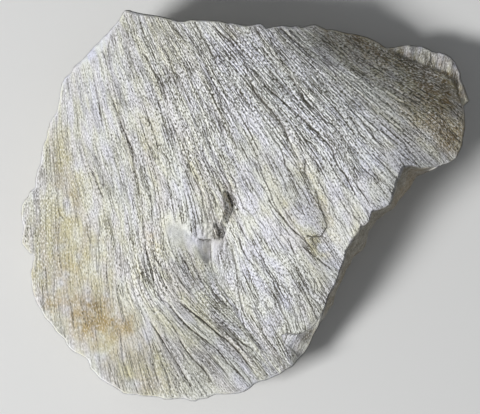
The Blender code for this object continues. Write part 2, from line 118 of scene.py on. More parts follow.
# torn sheets: the line where the drop starts, and the line where it ends
CHIP_BROW = [(225, 188), (223.5, 196), (225, 204), (224, 211), (220, 216), (215, 219), (213, 223), (203, 223.5),
             (195, 224.5), (188, 223.5), (182, 222), (176, 220.5), (170, 220), (163, 221)]
CHIP_FOOT = [(226, 188), (228, 194), (230.8, 200), (232, 208), (231, 215), (228, 220), (227, 227),
             (225.5, 234), (222, 239), (211, 239.5), (198, 239), (192.5, 236.5), (189, 231), (183, 227.5),
             (176, 225.5), (170, 223.5), (163, 223)]
WALL_BROW = [(224.5, 186), (223, 192), (223, 197), (224, 203), (225.3, 210), (224.5, 214.5), (221.5, 217.5),
             (216.5, 220.5), (213.2, 223), (213, 228), (213.4, 233), (212, 239.5)]
WALL_FOOT = [(225.5, 187), (226.5, 193), (229.5, 201), (231.8, 208), (230.8, 215), (228, 221.5), (226.5, 227), (225, 233),
             (223, 239.5)]
SHEET_BROW = [(305, 155), (304, 162), (303.5, 168), (302.8, 174), (306, 178), (309.5, 185), (311.5, 190), (315.5, 191.5),
              (316.5, 197), (318.5, 204), (321.5, 211), (324, 219), (326.6, 225.8), (323.5, 230.3), (320, 235.6),
              (316, 235.4), (311, 235.6), (306, 234.8)]
SHEET_FOOT = [(307.5, 155), (306.5, 162), (306, 168), (305.5, 173), (308.5, 177), (312, 184), (314, 189), (318, 191),
              (319, 197), (321, 203), (324, 210.5), (326.5, 218.5), (329, 226), (326, 231.5), (322, 237.8),
              (316.5, 237.6), (311, 237.8), (305.5, 237)]
TONGUE_BROW = [(273, 152), (277, 165), (280, 176), (284, 188), (284, 195), (281, 198), (276, 197)]
TONGUE_FOOT = [(275, 151), (280, 164), (283, 175), (287, 188), (287, 197), (282, 201), (275, 200)]
VALLEY = [(210, 240), (211, 259), (213, 267), (217, 276), (218, 283), (223, 290), (229, 299), (236, 310),
          (238, 318), (243, 326), (247, 334), (256, 345), (264, 354)]
LEDGE_BROW = [(383, 43.5), (387, 48), (392, 49), (398, 53), (404, 56), (412, 60), (420, 63), (426, 66),
              (431, 67), (437, 69), (441, 71), (447, 73), (449, 76), (453, 78), (456, 83), (458, 89),
              (458, 94), (461, 100), (462, 104), (466, 107)]
NICK = [(324, 310), (318, 320), (312, 328), (305, 332), (297, 335), (288, 334), (281, 336), (284, 343),
        (292, 350), (300, 358), (308, 352), (316, 338), (326, 318)]
EDGE_FACET = [(325, 309), (320, 319), (313, 328), (307, 332.5), (300, 336), (303, 341), (309, 346), (315, 343), (321, 333),
              (328, 318)]
# deep grooves: depth in mm, half width in plan units, points
GROOVES = [
    (0.55, 2.4, [(138, 17), (141, 24), (144, 33), (149, 44), (152, 53), (156, 62), (158, 68)]),
    (0.45, 2.2, [(143, 52), (148, 61), (153, 71), (160, 80), (162, 87), (165, 96), (169, 106)]),
    (0.60, 2.4, [(112, 96), (117, 109), (121, 121), (123, 129), (127, 138), (131, 147), (133, 158), (136, 171),
                 (138, 182), (139, 191), (141, 198)]),
    (0.35, 2.0, [(114, 71), (118, 82), (121, 91), (124, 98)]),
    (0.35, 2.0, [(93, 71), (95, 84), (97, 92), (100, 111), (103, 121)]),
    (0.55, 2.2, [(92, 169), (95, 176), (98, 185), (101, 192), (104, 199)]),
    (0.40, 2.0, [(95, 154), (99, 162), (102, 171), (104, 182), (105, 189)]),
    (0.35, 2.0, [(147, 175), (150, 179), (152, 182)]),
    (0.60, 3.0, [(143, 238), (149, 259), (153, 271), (156, 290), (161, 300), (168, 304), (175, 313), (181, 320),
                 (189, 328), (198, 335), (206, 340), (214, 346), (219, 351), (224, 358), (227, 363), (236, 370),
                 (242, 376), (249, 383)]),
    (0.70, 2.6, [(176, 300), (186, 308), (195, 315), (202, 320), (209, 327), (217, 334), (227, 340), (236, 349),
                 (243, 358), (251, 368), (259, 379)]),
    (0.55, 2.4, [(221, 320), (228, 328), (236, 338), (243, 344), (252, 349), (259, 358)]),
    (0.50, 2.4, [(256, 317), (261, 324), (264, 330)]),
    (0.65, 2.4, [(264, 278), (270, 290), (276, 298), (281, 308), (285, 317), (289, 326), (288, 330)]),
    (0.40, 2.0, [(247, 304), (251, 310)]),
    (0.45, 2.2, [(232, 209), (236, 218), (242, 229), (246, 238)]),
    (0.45, 2.2, [(202, 140), (204, 155), (209, 166), (212, 171), (215, 180), (219, 187), (222, 195)]),
    (0.45, 2.2, [(187, 160), (193, 176), (196, 182), (201, 191), (202, 200), (204, 209)]),
    (0.40, 2.0, [(211, 191), (214, 198), (216, 209)]),
    (0.60, 2.6, [(259, 182), (265, 191), (272, 205), (281, 216), (287, 224), (294, 232), (303, 239), (312, 248),
                 (317, 258)]),
    (0.35, 2.0, [(264, 239), (268, 245)]),
    (0.45, 2.2, [(287, 237), (292, 249), (296, 258), (301, 268)]),
    (0.85, 3.0, [(240, 62), (249, 69), (261, 79), (268, 89), (281, 100), (291, 110), (301, 119), (309, 127),
                 (316, 133), (321, 140), (327, 145), (332, 152), (334, 159), (337, 167), (344, 176), (348, 185),
                 (352, 191), (357, 199)]),
    (0.70, 2.6, [(241, 67), (247, 77), (253, 88), (259, 100), (269, 111), (277, 119), (282, 124), (285, 131),
                 (293, 152), (298, 159), (302, 164)]),
    (0.60, 2.6, [(212, 24), (216, 30), (223, 37), (231, 42), (237, 50), (243, 57), (248, 61)]),
    (0.45, 2.2, [(207, 44), (211, 53), (216, 62), (221, 71)]),
    (0.40, 2.2, [(194, 22), (198, 30), (202, 37)]),
    (0.40, 2.0, [(172, 27), (179, 34), (183, 40)]),
    (0.45, 2.2, [(256, 31), (261, 39), (267, 49)]),
    (0.40, 2.0, [(272, 33), (276, 43)]),
    (0.45, 2.2, [(279, 29), (286, 34), (292, 40), (301, 47), (309, 52)]),
    (0.45, 1.8, [(190.5, 223), (191.5, 230), (192, 237)]),
    (0.45, 1.8, [(195.5, 219), (196, 228), (196.8, 237.5)]),
    (0.25, 1.4, [(203, 225), (203.5, 231), (203, 237)]),
    (0.30, 1.8, [(210.5, 240), (211, 250), (211.8, 262), (213, 268), (216.5, 277), (218, 284), (223.5, 291), (229.5, 300)]),
    (0.40, 2.0, [(120, 326), (121, 338), (122, 350), (124, 362), (128, 374), (133, 386)]),
    (0.35, 2.0, [(135, 300), (141, 315), (146, 330), (149, 344), (152, 358), (155, 372), (160, 388)]),
    (0.60, 2.4, [(150, 320), (157, 332), (165, 346), (172, 357), (180, 368), (187, 380), (193, 393)]),
    (0.50, 2.4, [(178, 336), (186, 350), (194, 360), (202, 368), (208, 377), (215, 388)]),
    (0.30, 1.8, [(160, 360), (166, 374), (171, 389)]),
    (0.30, 1.8, [(138, 358), (141, 370), (144, 382), (147, 392)]),
    (0.35, 2.0, [(206, 352), (216, 362), (224, 371), (232, 380)]),
    (0.30, 1.8, [(232, 243), (234, 258), (236.5, 274), (238, 290), (241, 304), (244, 316)]),
    (0.40, 2.2, [(239, 235), (242, 249), (248, 260), (257, 268), (264, 278)]),
    (0.40, 2.0, [(300, 244), (307, 250), (316, 257), (325, 264), (335, 272)]),
    (0.30, 1.8, [(306, 274), (311, 285), (315, 295)]),
    (0.55, 2.4, [(286, 73), (293, 82), (297, 89), (301, 97), (308, 106), (314, 111)]),
]
# bearing of the striations, degrees below the horizontal, where no groove gives it
BEARINGS = [
    (40, 200, 90), (45, 160, 90), (60, 110, 92), (45, 260, 88), (60, 320, 84), (90, 350, 84), (75, 250, 88),
    (90, 300, 86), (70, 160, 88), (75, 120, 90), (80, 200, 90), (110, 50, 84), (120, 230, 86), (120, 270, 86),
    (115, 310, 80), (120, 330, 82), (150, 370, 76), (131, 384, 72), (122, 359, 80), (174, 358, 68),
    (192, 392, 62), (210, 385, 56), (150, 60, 68), (200, 100, 66), (180, 130, 70), (165, 170, 78),
    (150, 210, 82), (165, 205, 84), (180, 205, 80), (165, 300, 60), (180, 270, 54), (195, 290, 48),
    (190, 250, 60), (220, 310, 46), (240, 340, 45), (220, 260, 84), (226, 272, 80), (235, 286, 80), (240, 304, 64),
    (240, 255, 76), (255, 270, 68), (255, 310, 64), (280, 300, 60), (300, 290, 62), (314, 305, 60),
    (240, 190, 65), (245, 160, 63), (260, 80, 47), (230, 120, 62), (340, 100, 47), (320, 70, 43),
    (370, 117, 43), (400, 100, 35), (430, 92, 30), (430, 78, 14), (410, 70, 28), (445, 84, 24), (390, 66, 32),
    (360, 60, 30), (340, 45, 36), (433, 154, 43), (447, 156, 50), (450, 140, 54), (440, 115, 39),
    (455, 108, 38), (458, 125, 52), (410, 130, 44), (390, 150, 45), (390, 185, 46), (365, 190, 54),
    (350, 200, 62), (340, 230, 68), (335, 255, 66), (330, 280, 60), (375, 160, 48), (350, 140, 52),
    (320, 170, 64), (300, 200, 70), (285, 180, 72), (325, 210, 66), (270, 240, 62), (120, 180, 83), (90, 150, 86),
    (145, 150, 78), (105, 115, 76), (100, 260, 86), (290, 345, 56), (75, 290, 86), (135, 180, 76),
]


# ------------------------------------------------------------------ plan helpers
def smooth_step(x):
    x = np.clip(x, 0.0, 1.0)
    return x * x * (3.0 - 2.0 * x)


def arc_positions(points):
    p = np.asarray(points, float)
    return np.concatenate([[0.0], np.cumsum(np.linalg.norm(np.diff(p, axis=0), axis=1))])


def spread(points, count, paired):
    s = arc_positions(points)
    t = np.linspace(0.0, s[-1], count + 1)
    return tuple(np.stack([np.interp(t, s, np.asarray(q, float)[:, k]) for k in range(2)], axis=1)
                 for q in (points, paired))


def polyline_distance(u, v, line, reach=1e9):
    """Distance, side (+1 on the right of the walk) and share walked, for points within reach."""
    p = np.asarray(line, float)
    s = arc_positions(p)
    best = np.full(u.shape, 1e6)
    side = np.zeros(u.shape)
    share = np.zeros(u.shape)
    near_box = ((u > p[:, 0].min() - reach) & (u < p[:, 0].max() + reach)
                & (v > p[:, 1].min() - reach) & (v < p[:, 1].max() + reach))
    uu, vv = u[near_box], v[near_box]
    b_, s_, h_ = np.full(uu.shape, 1e6), np.zeros(uu.shape), np.zeros(uu.shape)
    for k in range(len(p) - 1):
        a, b = p[k], p[k + 1]
        d = b - a
        length2 = float(d @ d)
        t = np.clip(((uu - a[0]) * d[0] + (vv - a[1]) * d[1]) / length2, 0.0, 1.0)
        du, dv = uu - (a[0] + t * d[0]), vv - (a[1] + t * d[1])
        dist = np.hypot(du, dv)
        near = dist < b_ - 1e-9
        b_ = np.where(near, dist, b_)
        s_ = np.where(near, np.sign(d[0] * dv - d[1] * du), s_)
        h_ = np.where(near, (s[k] + t * np.sqrt(length2)) / s[-1], h_)
    best[near_box], side[near_box], share[near_box] = b_, s_, h_
    return best, side, share


def inside_polygon(u, v, poly):
    p = np.asarray(poly, float)
    hit = np.zeros(u.shape, bool)
    for a, b in zip(p, np.roll(p, -1, 0)):
        cross = ((a[1] > v) != (b[1] > v)) & (u < (b[0] - a[0]) * (v - a[1]) / (b[1] - a[1] + 1e-12) + a[0])
        hit ^= cross
    return hit


def soft_polygon(u, v, poly, width):
    """1 inside, 0 outside, blended over the width given."""
    dist = polyline_distance(u, v, list(poly) + [poly[0]])[0]
    sign = np.where(inside_polygon(u, v, poly), 1.0, -1.0)
    return smooth_step(0.5 + 0.5 * sign * dist / width)


def blob(u, v, cu, cv, ru, rv, turn=0.0):
    """Soft oval patch, turn in degrees below the horizontal."""
    c, s = np.cos(np.radians(turn)), np.sin(np.radians(turn))
    a, b = (u - cu) * c + (v - cv) * s, -(u - cu) * s + (v - cv) * c
    return np.exp(-0.5 * ((a / ru) ** 2 + (b / rv) ** 2))


def plate_spline(points):
    p = np.asarray(points, float)
    xy, z = p[:, :2] / 100.0, p[:, 2]
    r2 = ((xy[:, None] - xy[None]) ** 2).sum(2)
    kernel = 0.5 * r2 * np.log(r2 + 1e-12)
    n = len(p)
    flat = np.hstack([np.ones((n, 1)), xy])
    system = np.zeros((n + 3, n + 3))
    system[:n, :n] = kernel + 1e-3 * np.eye(n)
    system[:n, n:] = flat
    system[n:, :n] = flat.T
    weights = np.linalg.solve(system, np.concatenate([z, np.zeros(3)]))

    def surface(u, v):
        a, b = u / 100.0, v / 100.0
        out = weights[n] + weights[n + 1] * a + weights[n + 2] * b
        for k in range(n):
            d2 = (a - xy[k, 0]) ** 2 + (b - xy[k, 1]) ** 2
            out = out + weights[k] * 0.5 * d2 * np.log(d2 + 1e-12)
        return out
    return surface


def raster_noise(cell, seed):
    """Smooth random field over the plan, unit variance, features about one cell wide."""
    rng = np.random.default_rng(seed)
    w, h = int(560 / cell) + 6, int(500 / cell) + 6
    table = rng.standard_normal((w, h))

    def sample(u, v):
        a, b = (u + 40.0) / cell, (v + 40.0) / cell
        i, j = np.clip(a.astype(int), 0, w - 2), np.clip(b.astype(int), 0, h - 2)
        fa, fb = np.clip(a - i, 0, 1), np.clip(b - j, 0, 1)
        fa, fb = fa * fa * (3 - 2 * fa), fb * fb * (3 - 2 * fb)
        return ((table[i, j] * (1 - fa) + table[i + 1, j] * fa) * (1 - fb)
                + (table[i, j + 1] * (1 - fa) + table[i + 1, j + 1] * fa) * fb) * 1.35
    return sample


# ------------------------------------------------------------------ flow of the striations
def flow_tables():
    """Unit flow direction on a 2-unit raster, from the grooves and the bearings."""
    samples = []
    for depth, width, line in GROOVES:
        for a, b in zip(line[:-1], line[1:]):
            samples.append(((a[0] + b[0]) / 2, (a[1] + b[1]) / 2, np.degrees(np.arctan2(b[1] - a[1], b[0] - a[0]))))
    samples += BEARINGS
    s = np.asarray(samples, float)
    # the small cone fans steeper than the valley floor beside it: take that jump out of the samples
    s[:, 2] -= valley_jump(s[:, 0], s[:, 1])
    u, v = np.meshgrid(np.arange(0, 484, 4.0), np.arange(0, 420, 4.0), indexing='ij')
    total = np.zeros(u.shape)
    weight = np.zeros(u.shape)
    for cu, cv, ang in s:
        d2 = (u - cu) ** 2 + (v - cv) ** 2
        w = np.exp(-d2 / (2 * 15.0 ** 2)) + 1e-3 * np.exp(-d2 / (2 * 45.0 ** 2)) + 1e-7
        total += w * ang
        weight += w
    return total / weight


def valley_jump(u, v):
    dist, side, share = polyline_distance(u, v, VALLEY, 120.0)
    ends = smooth_step(share / 0.06) * smooth_step((1.0 - share) / 0.4)
    right = np.where(side < 0, 1.0, -1.0)
    return np.where(dist < 150, right * 19.0 * ends * np.exp(-dist / 32.0), 0.0)


def table_lookup(table, u, v, step=4.0):
    a, b = u / step, v / step
    i = np.clip(a.astype(int), 0, table.shape[0] - 2)
    j = np.clip(b.astype(int), 0, table.shape[1] - 2)
    fa, fb = np.clip(a - i, 0, 1), np.clip(b - j, 0, 1)
    return ((table[i, j] * (1 - fa) + table[i + 1, j] * fa) * (1 - fb)
            + (table[i, j + 1] * (1 - fa) + table[i + 1, j + 1] * fa) * fb)


FLOW = flow_tables()
_ju, _jv = np.meshgrid(np.arange(0, 482, 1.0), np.arange(0, 418, 1.0), indexing='ij')
JUMP = valley_jump(_ju, _jv)
_d, _s, _h = polyline_distance(_ju, _jv, VALLEY, 60.0)
DOMAIN = np.where((_d < 70) & (_h > 0.0) & (_h < 1.0), _s, 0.0)
ANGLE = np.radians(table_lookup(FLOW, _ju, _jv) + JUMP)
# close to the valley line the striations come round to run along it
_p, _a = np.asarray(VALLEY, float), arc_positions(VALLEY)
_run = np.interp(_h * _a[-1], (_a[:-1] + _a[1:]) / 2, np.arctan2(np.diff(_p[:, 1]), np.diff(_p[:, 0])))
_near = np.exp(-(_d / np.where(_s < 0, 8.0, 4.0)) ** 2) * smooth_step((_jv - 246.0) / 14.0) * smooth_step((1.0 - _h) / 0.1)
ANGLE = ANGLE + (_run - ANGLE) * _near
COS_F, SIN_F = np.cos(ANGLE), np.sin(ANGLE)


def pixel(table, u, v):
    i = np.clip((u + 0.5).astype(int), 0, table.shape[0] - 1)
    j = np.clip((v + 0.5).astype(int), 0, table.shape[1] - 1)
    return table[i, j]


def gradient_noise(a, b, seed):
    """Smooth noise of unit variance over two coordinates, cells of one."""
    rng = np.random.default_rng(seed)
    ang = rng.uniform(0.0, 2.0 * np.pi, (256, 256))
    gx, gy = np.cos(ang), np.sin(ang)
    ia, ib = np.floor(a).astype(int), np.floor(b).astype(int)
    fa, fb = a - ia, b - ib
    wa, wb = fa ** 3 * (fa * (fa * 6 - 15) + 10), fb ** 3 * (fb * (fb * 6 - 15) + 10)

    def corner(di, dj):
        i, j = (ia + di) & 255, (ib + dj) & 255
        return gx[i, j] * (fa - di) + gy[i, j] * (fb - dj)
    return 3.7 * ((corner(0, 0) * (1 - wa) + corner(1, 0) * wa) * (1 - wb)
                  + (corner(0, 1) * (1 - wa) + corner(1, 1) * wa) * wb)


def strand_table(step, start, passes, along_weight, across):
    """Least squares field on a raster: level along the flow and one unit per unit across it
    (or the other way round), solved by conjugate gradients."""
    us, vs = np.arange(0, 482.01 - step / 2, step), np.arange(0, 418.01 - step / 2, step)
    cu, cv = (us[:-1] + us[1:]) / 2, (vs[:-1] + vs[1:]) / 2
    ang = ANGLE[np.ix_((cu + 0.5).astype(int), (cv + 0.5).astype(int))]
    fx, fy = np.cos(ang), np.sin(ang)
    if across:
        lx, ly, rx, ry = fx, fy, fy, -fx
    else:
        lx, ly, rx, ry = fy, -fx, fx, fy
    mesh_u, mesh_v = np.meshgrid(cu, cv, indexing='ij')
    w = np.where(inside_polygon(mesh_u, mesh_v, [p[:2] for p in OUTLINE]), 1.0, 0.02)
    # the two sides of the valley are not tied together
    dist, _, share = polyline_distance(mesh_u, mesh_v, VALLEY)
    w = np.where((dist < 0.75 * step) & (share > 0.0) & (share < 0.96), 1e-5, w)

    def gradient(t):
        gx = (t[1:, :-1] + t[1:, 1:] - t[:-1, :-1] - t[:-1, 1:]) / (2 * step)
        gy = (t[:-1, 1:] + t[1:, 1:] - t[:-1, :-1] - t[1:, :-1]) / (2 * step)
        return gx, gy, (t[1:, 1:] - t[1:, :-1] - t[:-1, 1:] + t[:-1, :-1]) / (2 * step)

    def gather(gx, gy, twist):
        total = np.zeros((len(us), len(vs)))
        gx, gy, twist = gx / (2 * step), gy / (2 * step), twist / (2 * step)
        total[1:, :-1] += gx - gy - twist
        total[1:, 1:] += gx + gy + twist
        total[:-1, :-1] += -gx - gy + twist
        total[:-1, 1:] += -gx + gy - twist
        return total

    def normal_matrix(t):
        gx, gy, twist = gradient(t)
        level, rise = (lx * gx + ly * gy) * along_weight * w, (rx * gx + ry * gy) * w
        return gather(lx * level + rx * rise, ly * level + ry * rise, 0.2 * twist * w)

    if start is None:
        x = np.zeros((len(us), len(vs)))
    else:
        i, j = np.clip(us / (2 * step), 0, start.shape[0] - 1.001), np.clip(vs / (2 * step), 0, start.shape[1] - 1.001)
        ii, jj = i.astype(int), j.astype(int)
        fi, fj = (i - ii)[:, None], (j - jj)[None]
        x = ((start[np.ix_(ii, jj)] * (1 - fi) + start[np.ix_(ii + 1, jj)] * fi) * (1 - fj)
             + (start[np.ix_(ii, jj + 1)] * (1 - fi) + start[np.ix_(ii + 1, jj + 1)] * fi) * fj)
    r = gather(rx * w, ry * w, np.zeros_like(w)) - normal_matrix(x)
    p = r.copy()
    rs = (r * r).sum()
    for _ in range(passes):
        ap = normal_matrix(p)
        alpha = rs / ((p * ap).sum() + 1e-30)
        x += alpha * p
        r -= alpha * ap
        rn = (r * r).sum()
        p = r + (rn / rs) * p
        rs = rn
    return x


def strand_field(along_weight, across, passes):
    table = None
    for step, count in zip((16, 8, 4, 2), passes):
        table = strand_table(step, table, count, along_weight, across)
    return table


ACROSS = strand_field(40.0, True, (400, 600, 800, 700))
ALONG = strand_field(2.0, False, (200, 200, 200, 150))


def pace_table():
    """Levels of the across field per plan unit: small where the striations have spread apart."""
    gx, gy = np.gradient(ACROSS, 2.0)
    us, vs = np.meshgrid(2.0 * np.arange(ACROSS.shape[0]), 2.0 * np.arange(ACROSS.shape[1]), indexing='ij')
    known = np.where(polyline_distance(us, vs, VALLEY)[0] < 4.0, 0.0, 1.0)
    total = np.clip(np.hypot(gx, gy), 0.22, 1.7) * known
    for _ in range(8):
        for axis in (0, 1):
            total = (np.roll(total, 1, axis) + 2.0 * total + np.roll(total, -1, axis)) / 4.0
            known = (np.roll(known, 1, axis) + 2.0 * known + np.roll(known, -1, axis)) / 4.0
    return total / (known + 1e-6)


PACE = pace_table()


def strand(u, v):
    """Position across and along the striations, in plan units."""
    # beside the valley the tables are read a little off the line and carried back along the flow
    dist, side, share = polyline_distance(u, v, VALLEY, 20.0)
    close = (dist < 3.2) & (share > 0.0) & (share < 0.97)
    ru, rv = u.copy(), v.copy()
    ku, kv = np.gradient(VALLEY_DISTANCE)
    move = np.where(close, 3.2 - dist, 0.0)
    ru, rv = u + move * pixel(ku, u, v), v + move * pixel(kv, u, v)
    t, s = table_lookup(ACROSS, ru, rv, 2.0), table_lookup(ALONG, ru, rv, 2.0)
    c, k = pixel(COS_F, ru, rv), pixel(SIN_F, ru, rv)
    t = t + (u - ru) * k - (v - rv) * c
    s = s + (u - ru) * c + (v - rv) * k
    # the ledge has its own, running out over its width
    dist, side, share = polyline_distance(u, v, LEDGE_BROW, 40.0)
    ledge = (side < 0) & (dist < 40) & (share > 0.0) & (share < 1.0)
    t, s = np.where(ledge, 0.98 * u + 0.17 * v, t), np.where(ledge, 0.98 * v - 0.17 * u, s)
    # and the broken corner
    corner = inside_polygon(u, v, NICK)
    return np.where(corner, 0.91 * u + 0.42 * v, t), np.where(corner, 0.91 * v - 0.42 * u, s)


VALLEY_DISTANCE = polyline_distance(_ju, _jv, VALLEY)[0]


def strength_of(u, v):
    """How strongly the striations stand out, about 0.3 to 1."""
    s = (0.52 + 0.46 * blob(u, v, 285, 85, 62, 48, 30) + 0.26 * blob(u, v, 185, 160, 42, 60) + 0.12 * blob(u, v, 158, 268, 22, 34)
         + 0.32 * blob(u, v, 335, 150, 45, 32, 45) + 0.16 * blob(u, v, 235, 350, 45, 26) + 0.12 * blob(u, v, 290, 275, 30, 30)
         + 0.50 * blob(u, v, 425, 122, 34, 22, 20) + 0.16 * blob(u, v, 270, 292, 40, 34) + 0.40 * blob(u, v, 385, 60, 40, 16, 20) + 0.20 * blob(u, v, 262, 285, 40, 34) - 0.18 * blob(u, v, 95, 340, 45, 34) - 0.10 * blob(u, v, 60, 285, 28, 30) - 0.02 * blob(u, v, 312, 214, 8, 22, -22)
         + 0.25 * blob(u, v, 202, 287, 14, 32, -32) + 0.12 * blob(u, v, 152, 275, 16, 28) + 0.20 * blob(u, v, 185, 60, 44, 34)
         + 0.12 * blob(u, v, 195, 130, 30, 34) + 0.18 * blob(u, v, 385, 175, 24, 22) + 0.14 * blob(u, v, 93, 318, 22, 16)
         + 0.10 * blob(u, v, 60, 265, 24, 40) + 0.10 * blob(u, v, 300, 100, 60, 40, 35) - 0.06 * blob(u, v, 150, 380, 30, 16)
         - 0.10 * blob(u, v, 85, 115, 34, 50) - 0.07 * blob(u, v, 68, 210, 26, 40) - 0.10 * blob(u, v, 337, 245, 12, 22) + 0.12 * blob(u, v, 222, 62, 26, 22))
    return np.clip(s, 0.22, 1.15)


# ------------------------------------------------------------------ relief of the upper side
BASE_SURFACE = plate_spline(HEIGHTS)


def drop_share(u, v, brow, foot):
    """0 on the upper sheet, 1 beyond the foot, ramped between; the sheet is right of the walk."""
    db, sb, share = polyline_distance(u, v, brow)
    df, sf, _ = polyline_distance(u, v, foot)
    ramp = db / (db + df + 1e-6)
    return np.where(sb > 0, 0.0, np.where(sf < 0, 1.0, ramp)), db, df, share


def ledge_height(u, v):
    """The ledge runs out nearly level from the foot of the brow."""
    dist, side, share = polyline_distance(u, v, LEDGE_BROW)
    s = arc_positions(LEDGE_BROW)
    p = np.asarray(LEDGE_BROW, float)
    bu, bv = np.interp(share * s[-1], s, p[:, 0]), np.interp(share * s[-1], s, p[:, 1])
    return BASE_SURFACE(bu, bv), dist, side, share


def broad_height(u, v):
    z = BASE_SURFACE(u, v)
    # the torn edge in the middle of the face
    fall, db, df, share = drop_share(u, v, CHIP_BROW, CHIP_FOOT)
    wall = drop_share(u, v, WALL_BROW, WALL_FOOT)[0]
    # both ends die out; below the foot they fade over a fan that opens with the distance
    out = np.maximum(0.0, u - 229.0)
    below = (smooth_step((v - 187.0 + 0.25 * out) / (9.0 + 0.55 * out))
             * smooth_step((u - 164.0 + 0.10 * np.maximum(0.0, v - 232.0)) / (24.0 + 0.30 * np.maximum(0.0, v - 232.0))))
    along_brow = smooth_step(share / 0.07) * smooth_step((1.0 - share) / 0.30)
    foot_part = np.where(fall >= 1.0, 1.0, np.where(fall <= 0.0, 0.0, fall))
    ends = along_brow + (below - along_brow) * smooth_step(foot_part)
    low = smooth_step((214.0 - u) / 12.0) * smooth_step((v - 214.0) / 12.0)
    along_depth = smooth_step((share - 0.40) / 0.15)
    depth = 3.8 - 0.9 * (along_depth + (low - along_depth) * smooth_step(foot_part))
    inner = np.maximum(1.5 * fall, np.where((db < 40.0) & (v < 239.5), 3.8 * wall, 0.0))
    z = z - ends * np.where(fall >= 1.0, depth * np.exp(-df / 27.0), inner)
    z = z + 0.4 * ends * np.where(fall <= 0.0, np.exp(-db / 7.0), 1.0 - fall)
    on_wall = np.where((fall > 0.0) & (fall < 1.0), np.minimum(1.0, 3.0 * fall * (1.0 - fall) + 0.35), 0.0) * ends
    z = z + on_wall * (0.30 * gradient_noise(u / 3.2, v / 3.6, 77) + 0.28 * gradient_noise(u / 4.0, v / 6.0, 71) + 0.16 * gradient_noise((u + v) / 2.6, (u - v) / 5.0, 72)
                       + 0.12 * gradient_noise(u / 2.4, v / 14.0, 76))
    # the facet that tips down to the valley under it
    z = z - 2.1 * soft_polygon(u, v, GREY_FACET, 2.0) * np.clip((u - 197.0) / 14.0, 0.0, 1.0)
    # the raised sheet and the small tongue beside it
    for brow, foot, depth, reach in ((SHEET_BROW, SHEET_FOOT, 0.85, 11.0), (TONGUE_BROW, TONGUE_FOOT, 0.5, 9.0)):
        fall, db, df, share = drop_share(u, v, brow, foot)
        ends = smooth_step(share / 0.15) * smooth_step((1.0 - share) / 0.15)
        near = np.minimum(db, df) < 40.0
        z = z - near * depth * ends * fall * np.exp(-np.where(fall >= 1.0, df, 0.0) / reach)
        z = z - near * 0.30 * ends * np.where(fall <= 0.0, np.exp(-db / 8.0), 1.0 - fall)
    dist, side, share = polyline_distance(u, v, VALLEY)
    ends = smooth_step(share / 0.1) * smooth_step((1.0 - share) / 0.3)
    z = z - 1.0 * ends * np.maximum(0.0, 1.0 - dist / 16.0)
    # the broken corner: a facet falling away from the line (325, 308) to (297, 335)
    out = (u - 325.0) * 0.694 + (v - 308.0) * 0.72
    down = -(u - 325.0) * 0.72 + (v - 308.0) * 0.694
    out = out - 0.8 * gradient_noise(down / 9.0, out / 14.0, 73)
    steep = 0.80 - 0.56 * smooth_step((down - 46.0) / 18.0)
    steep = steep * smooth_step((down + 4.0) / 6.0)
    z = z - steep * np.maximum(0.0, out) / PPM * smooth_step((75.0 - down) / 20.0)
    # the ledge
    level, dist, side, share = ledge_height(u, v)
    ends = smooth_step(share / 0.04) * smooth_step((1.0 - share) / 0.06)
    behind = smooth_step(0.5 - 0.5 * side * dist / 1.3) * ends
    shelf = level - 0.75 - 0.045 * dist + 0.30 * gradient_noise(u / 7.0, v / 14.0, 74) + 0.12 * gradient_noise(u / 3.0, v / 7.0, 75)
    near = dist < 40.0
    z = np.where(near, z + (shelf - z) * behind, z)
    return z


GREY_FACET = [(198, 239), (211.5, 239), (212, 258), (208, 263), (200, 256), (197, 248)]
SMOOTH_FACET = [(124, 10), (110, 38), (107, 47), (97, 55), (88, 62), (76, 70), (66, 79), (60, 92), (50, 90), (60, 70),
                (95, 35), (115, 12)]
LEDGE = [(385, 44), (387, 48), (398, 53), (412, 60), (426, 66), (437, 69), (447, 73), (453, 78), (458, 89),
         (461, 100), (464, 106), (480, 106), (480, 60), (440, 38), (390, 36)]
CHIP_PATCH = [(166, 223), (176, 222), (187, 227), (192, 237), (198, 240), (223, 240), (226, 234), (212, 262),
              (206, 262), (192, 252), (178, 246), (166, 232)]
WORN = [(224, 190), (230, 193), (233.5, 200), (233.5, 209), (232.5, 215), (229, 220), (227.5, 227), (223, 240),
        (198, 240), (192, 237), (196, 225), (205, 223), (219, 222), (223, 217), (225, 205)]


TORN_WALL = [(224, 190), (230, 193), (233.5, 200), (233.5, 209), (232.5, 215), (229, 220), (227.5, 227), (223, 240),
             (212, 240), (213, 228), (213, 222), (219, 221), (223, 217), (225, 205)]


def striation_mask(u, v):
    m = 1.0 - 0.97 * soft_polygon(u, v, SMOOTH_FACET, 2.5)
    m = m * (1.0 - 0.85 * soft_polygon(u, v, LEDGE, 2.0))
    m = m * (1.0 - 0.12 * soft_polygon(u, v, NICK, 2.0))
    m = m * (1.0 - 0.88 * soft_polygon(u, v, CHIP_PATCH, 4.0))
    m = m * (1.0 - 0.55 * soft_polygon(u, v, WORN, 1.5))
    m = np.maximum(m, soft_polygon(u, v, TORN_WALL, 1.2))
    return m


def ridge_shape(x):
    """Rounded crests and sharper troughs."""
    return np.where(x > 0, 0.6 * x, x * (1.0 + 0.15 * np.minimum(-x, 2.0)))


def drawn_out(t, s, across, along, seed, spare):
    """Noise drawn out along the striations; finer ones come in where they spread apart."""
    wide = gradient_noise(t / across, s / along, seed)
    return wide + (gradient_noise(2.0 * t / across, s / along, seed + 40) - wide) * spare


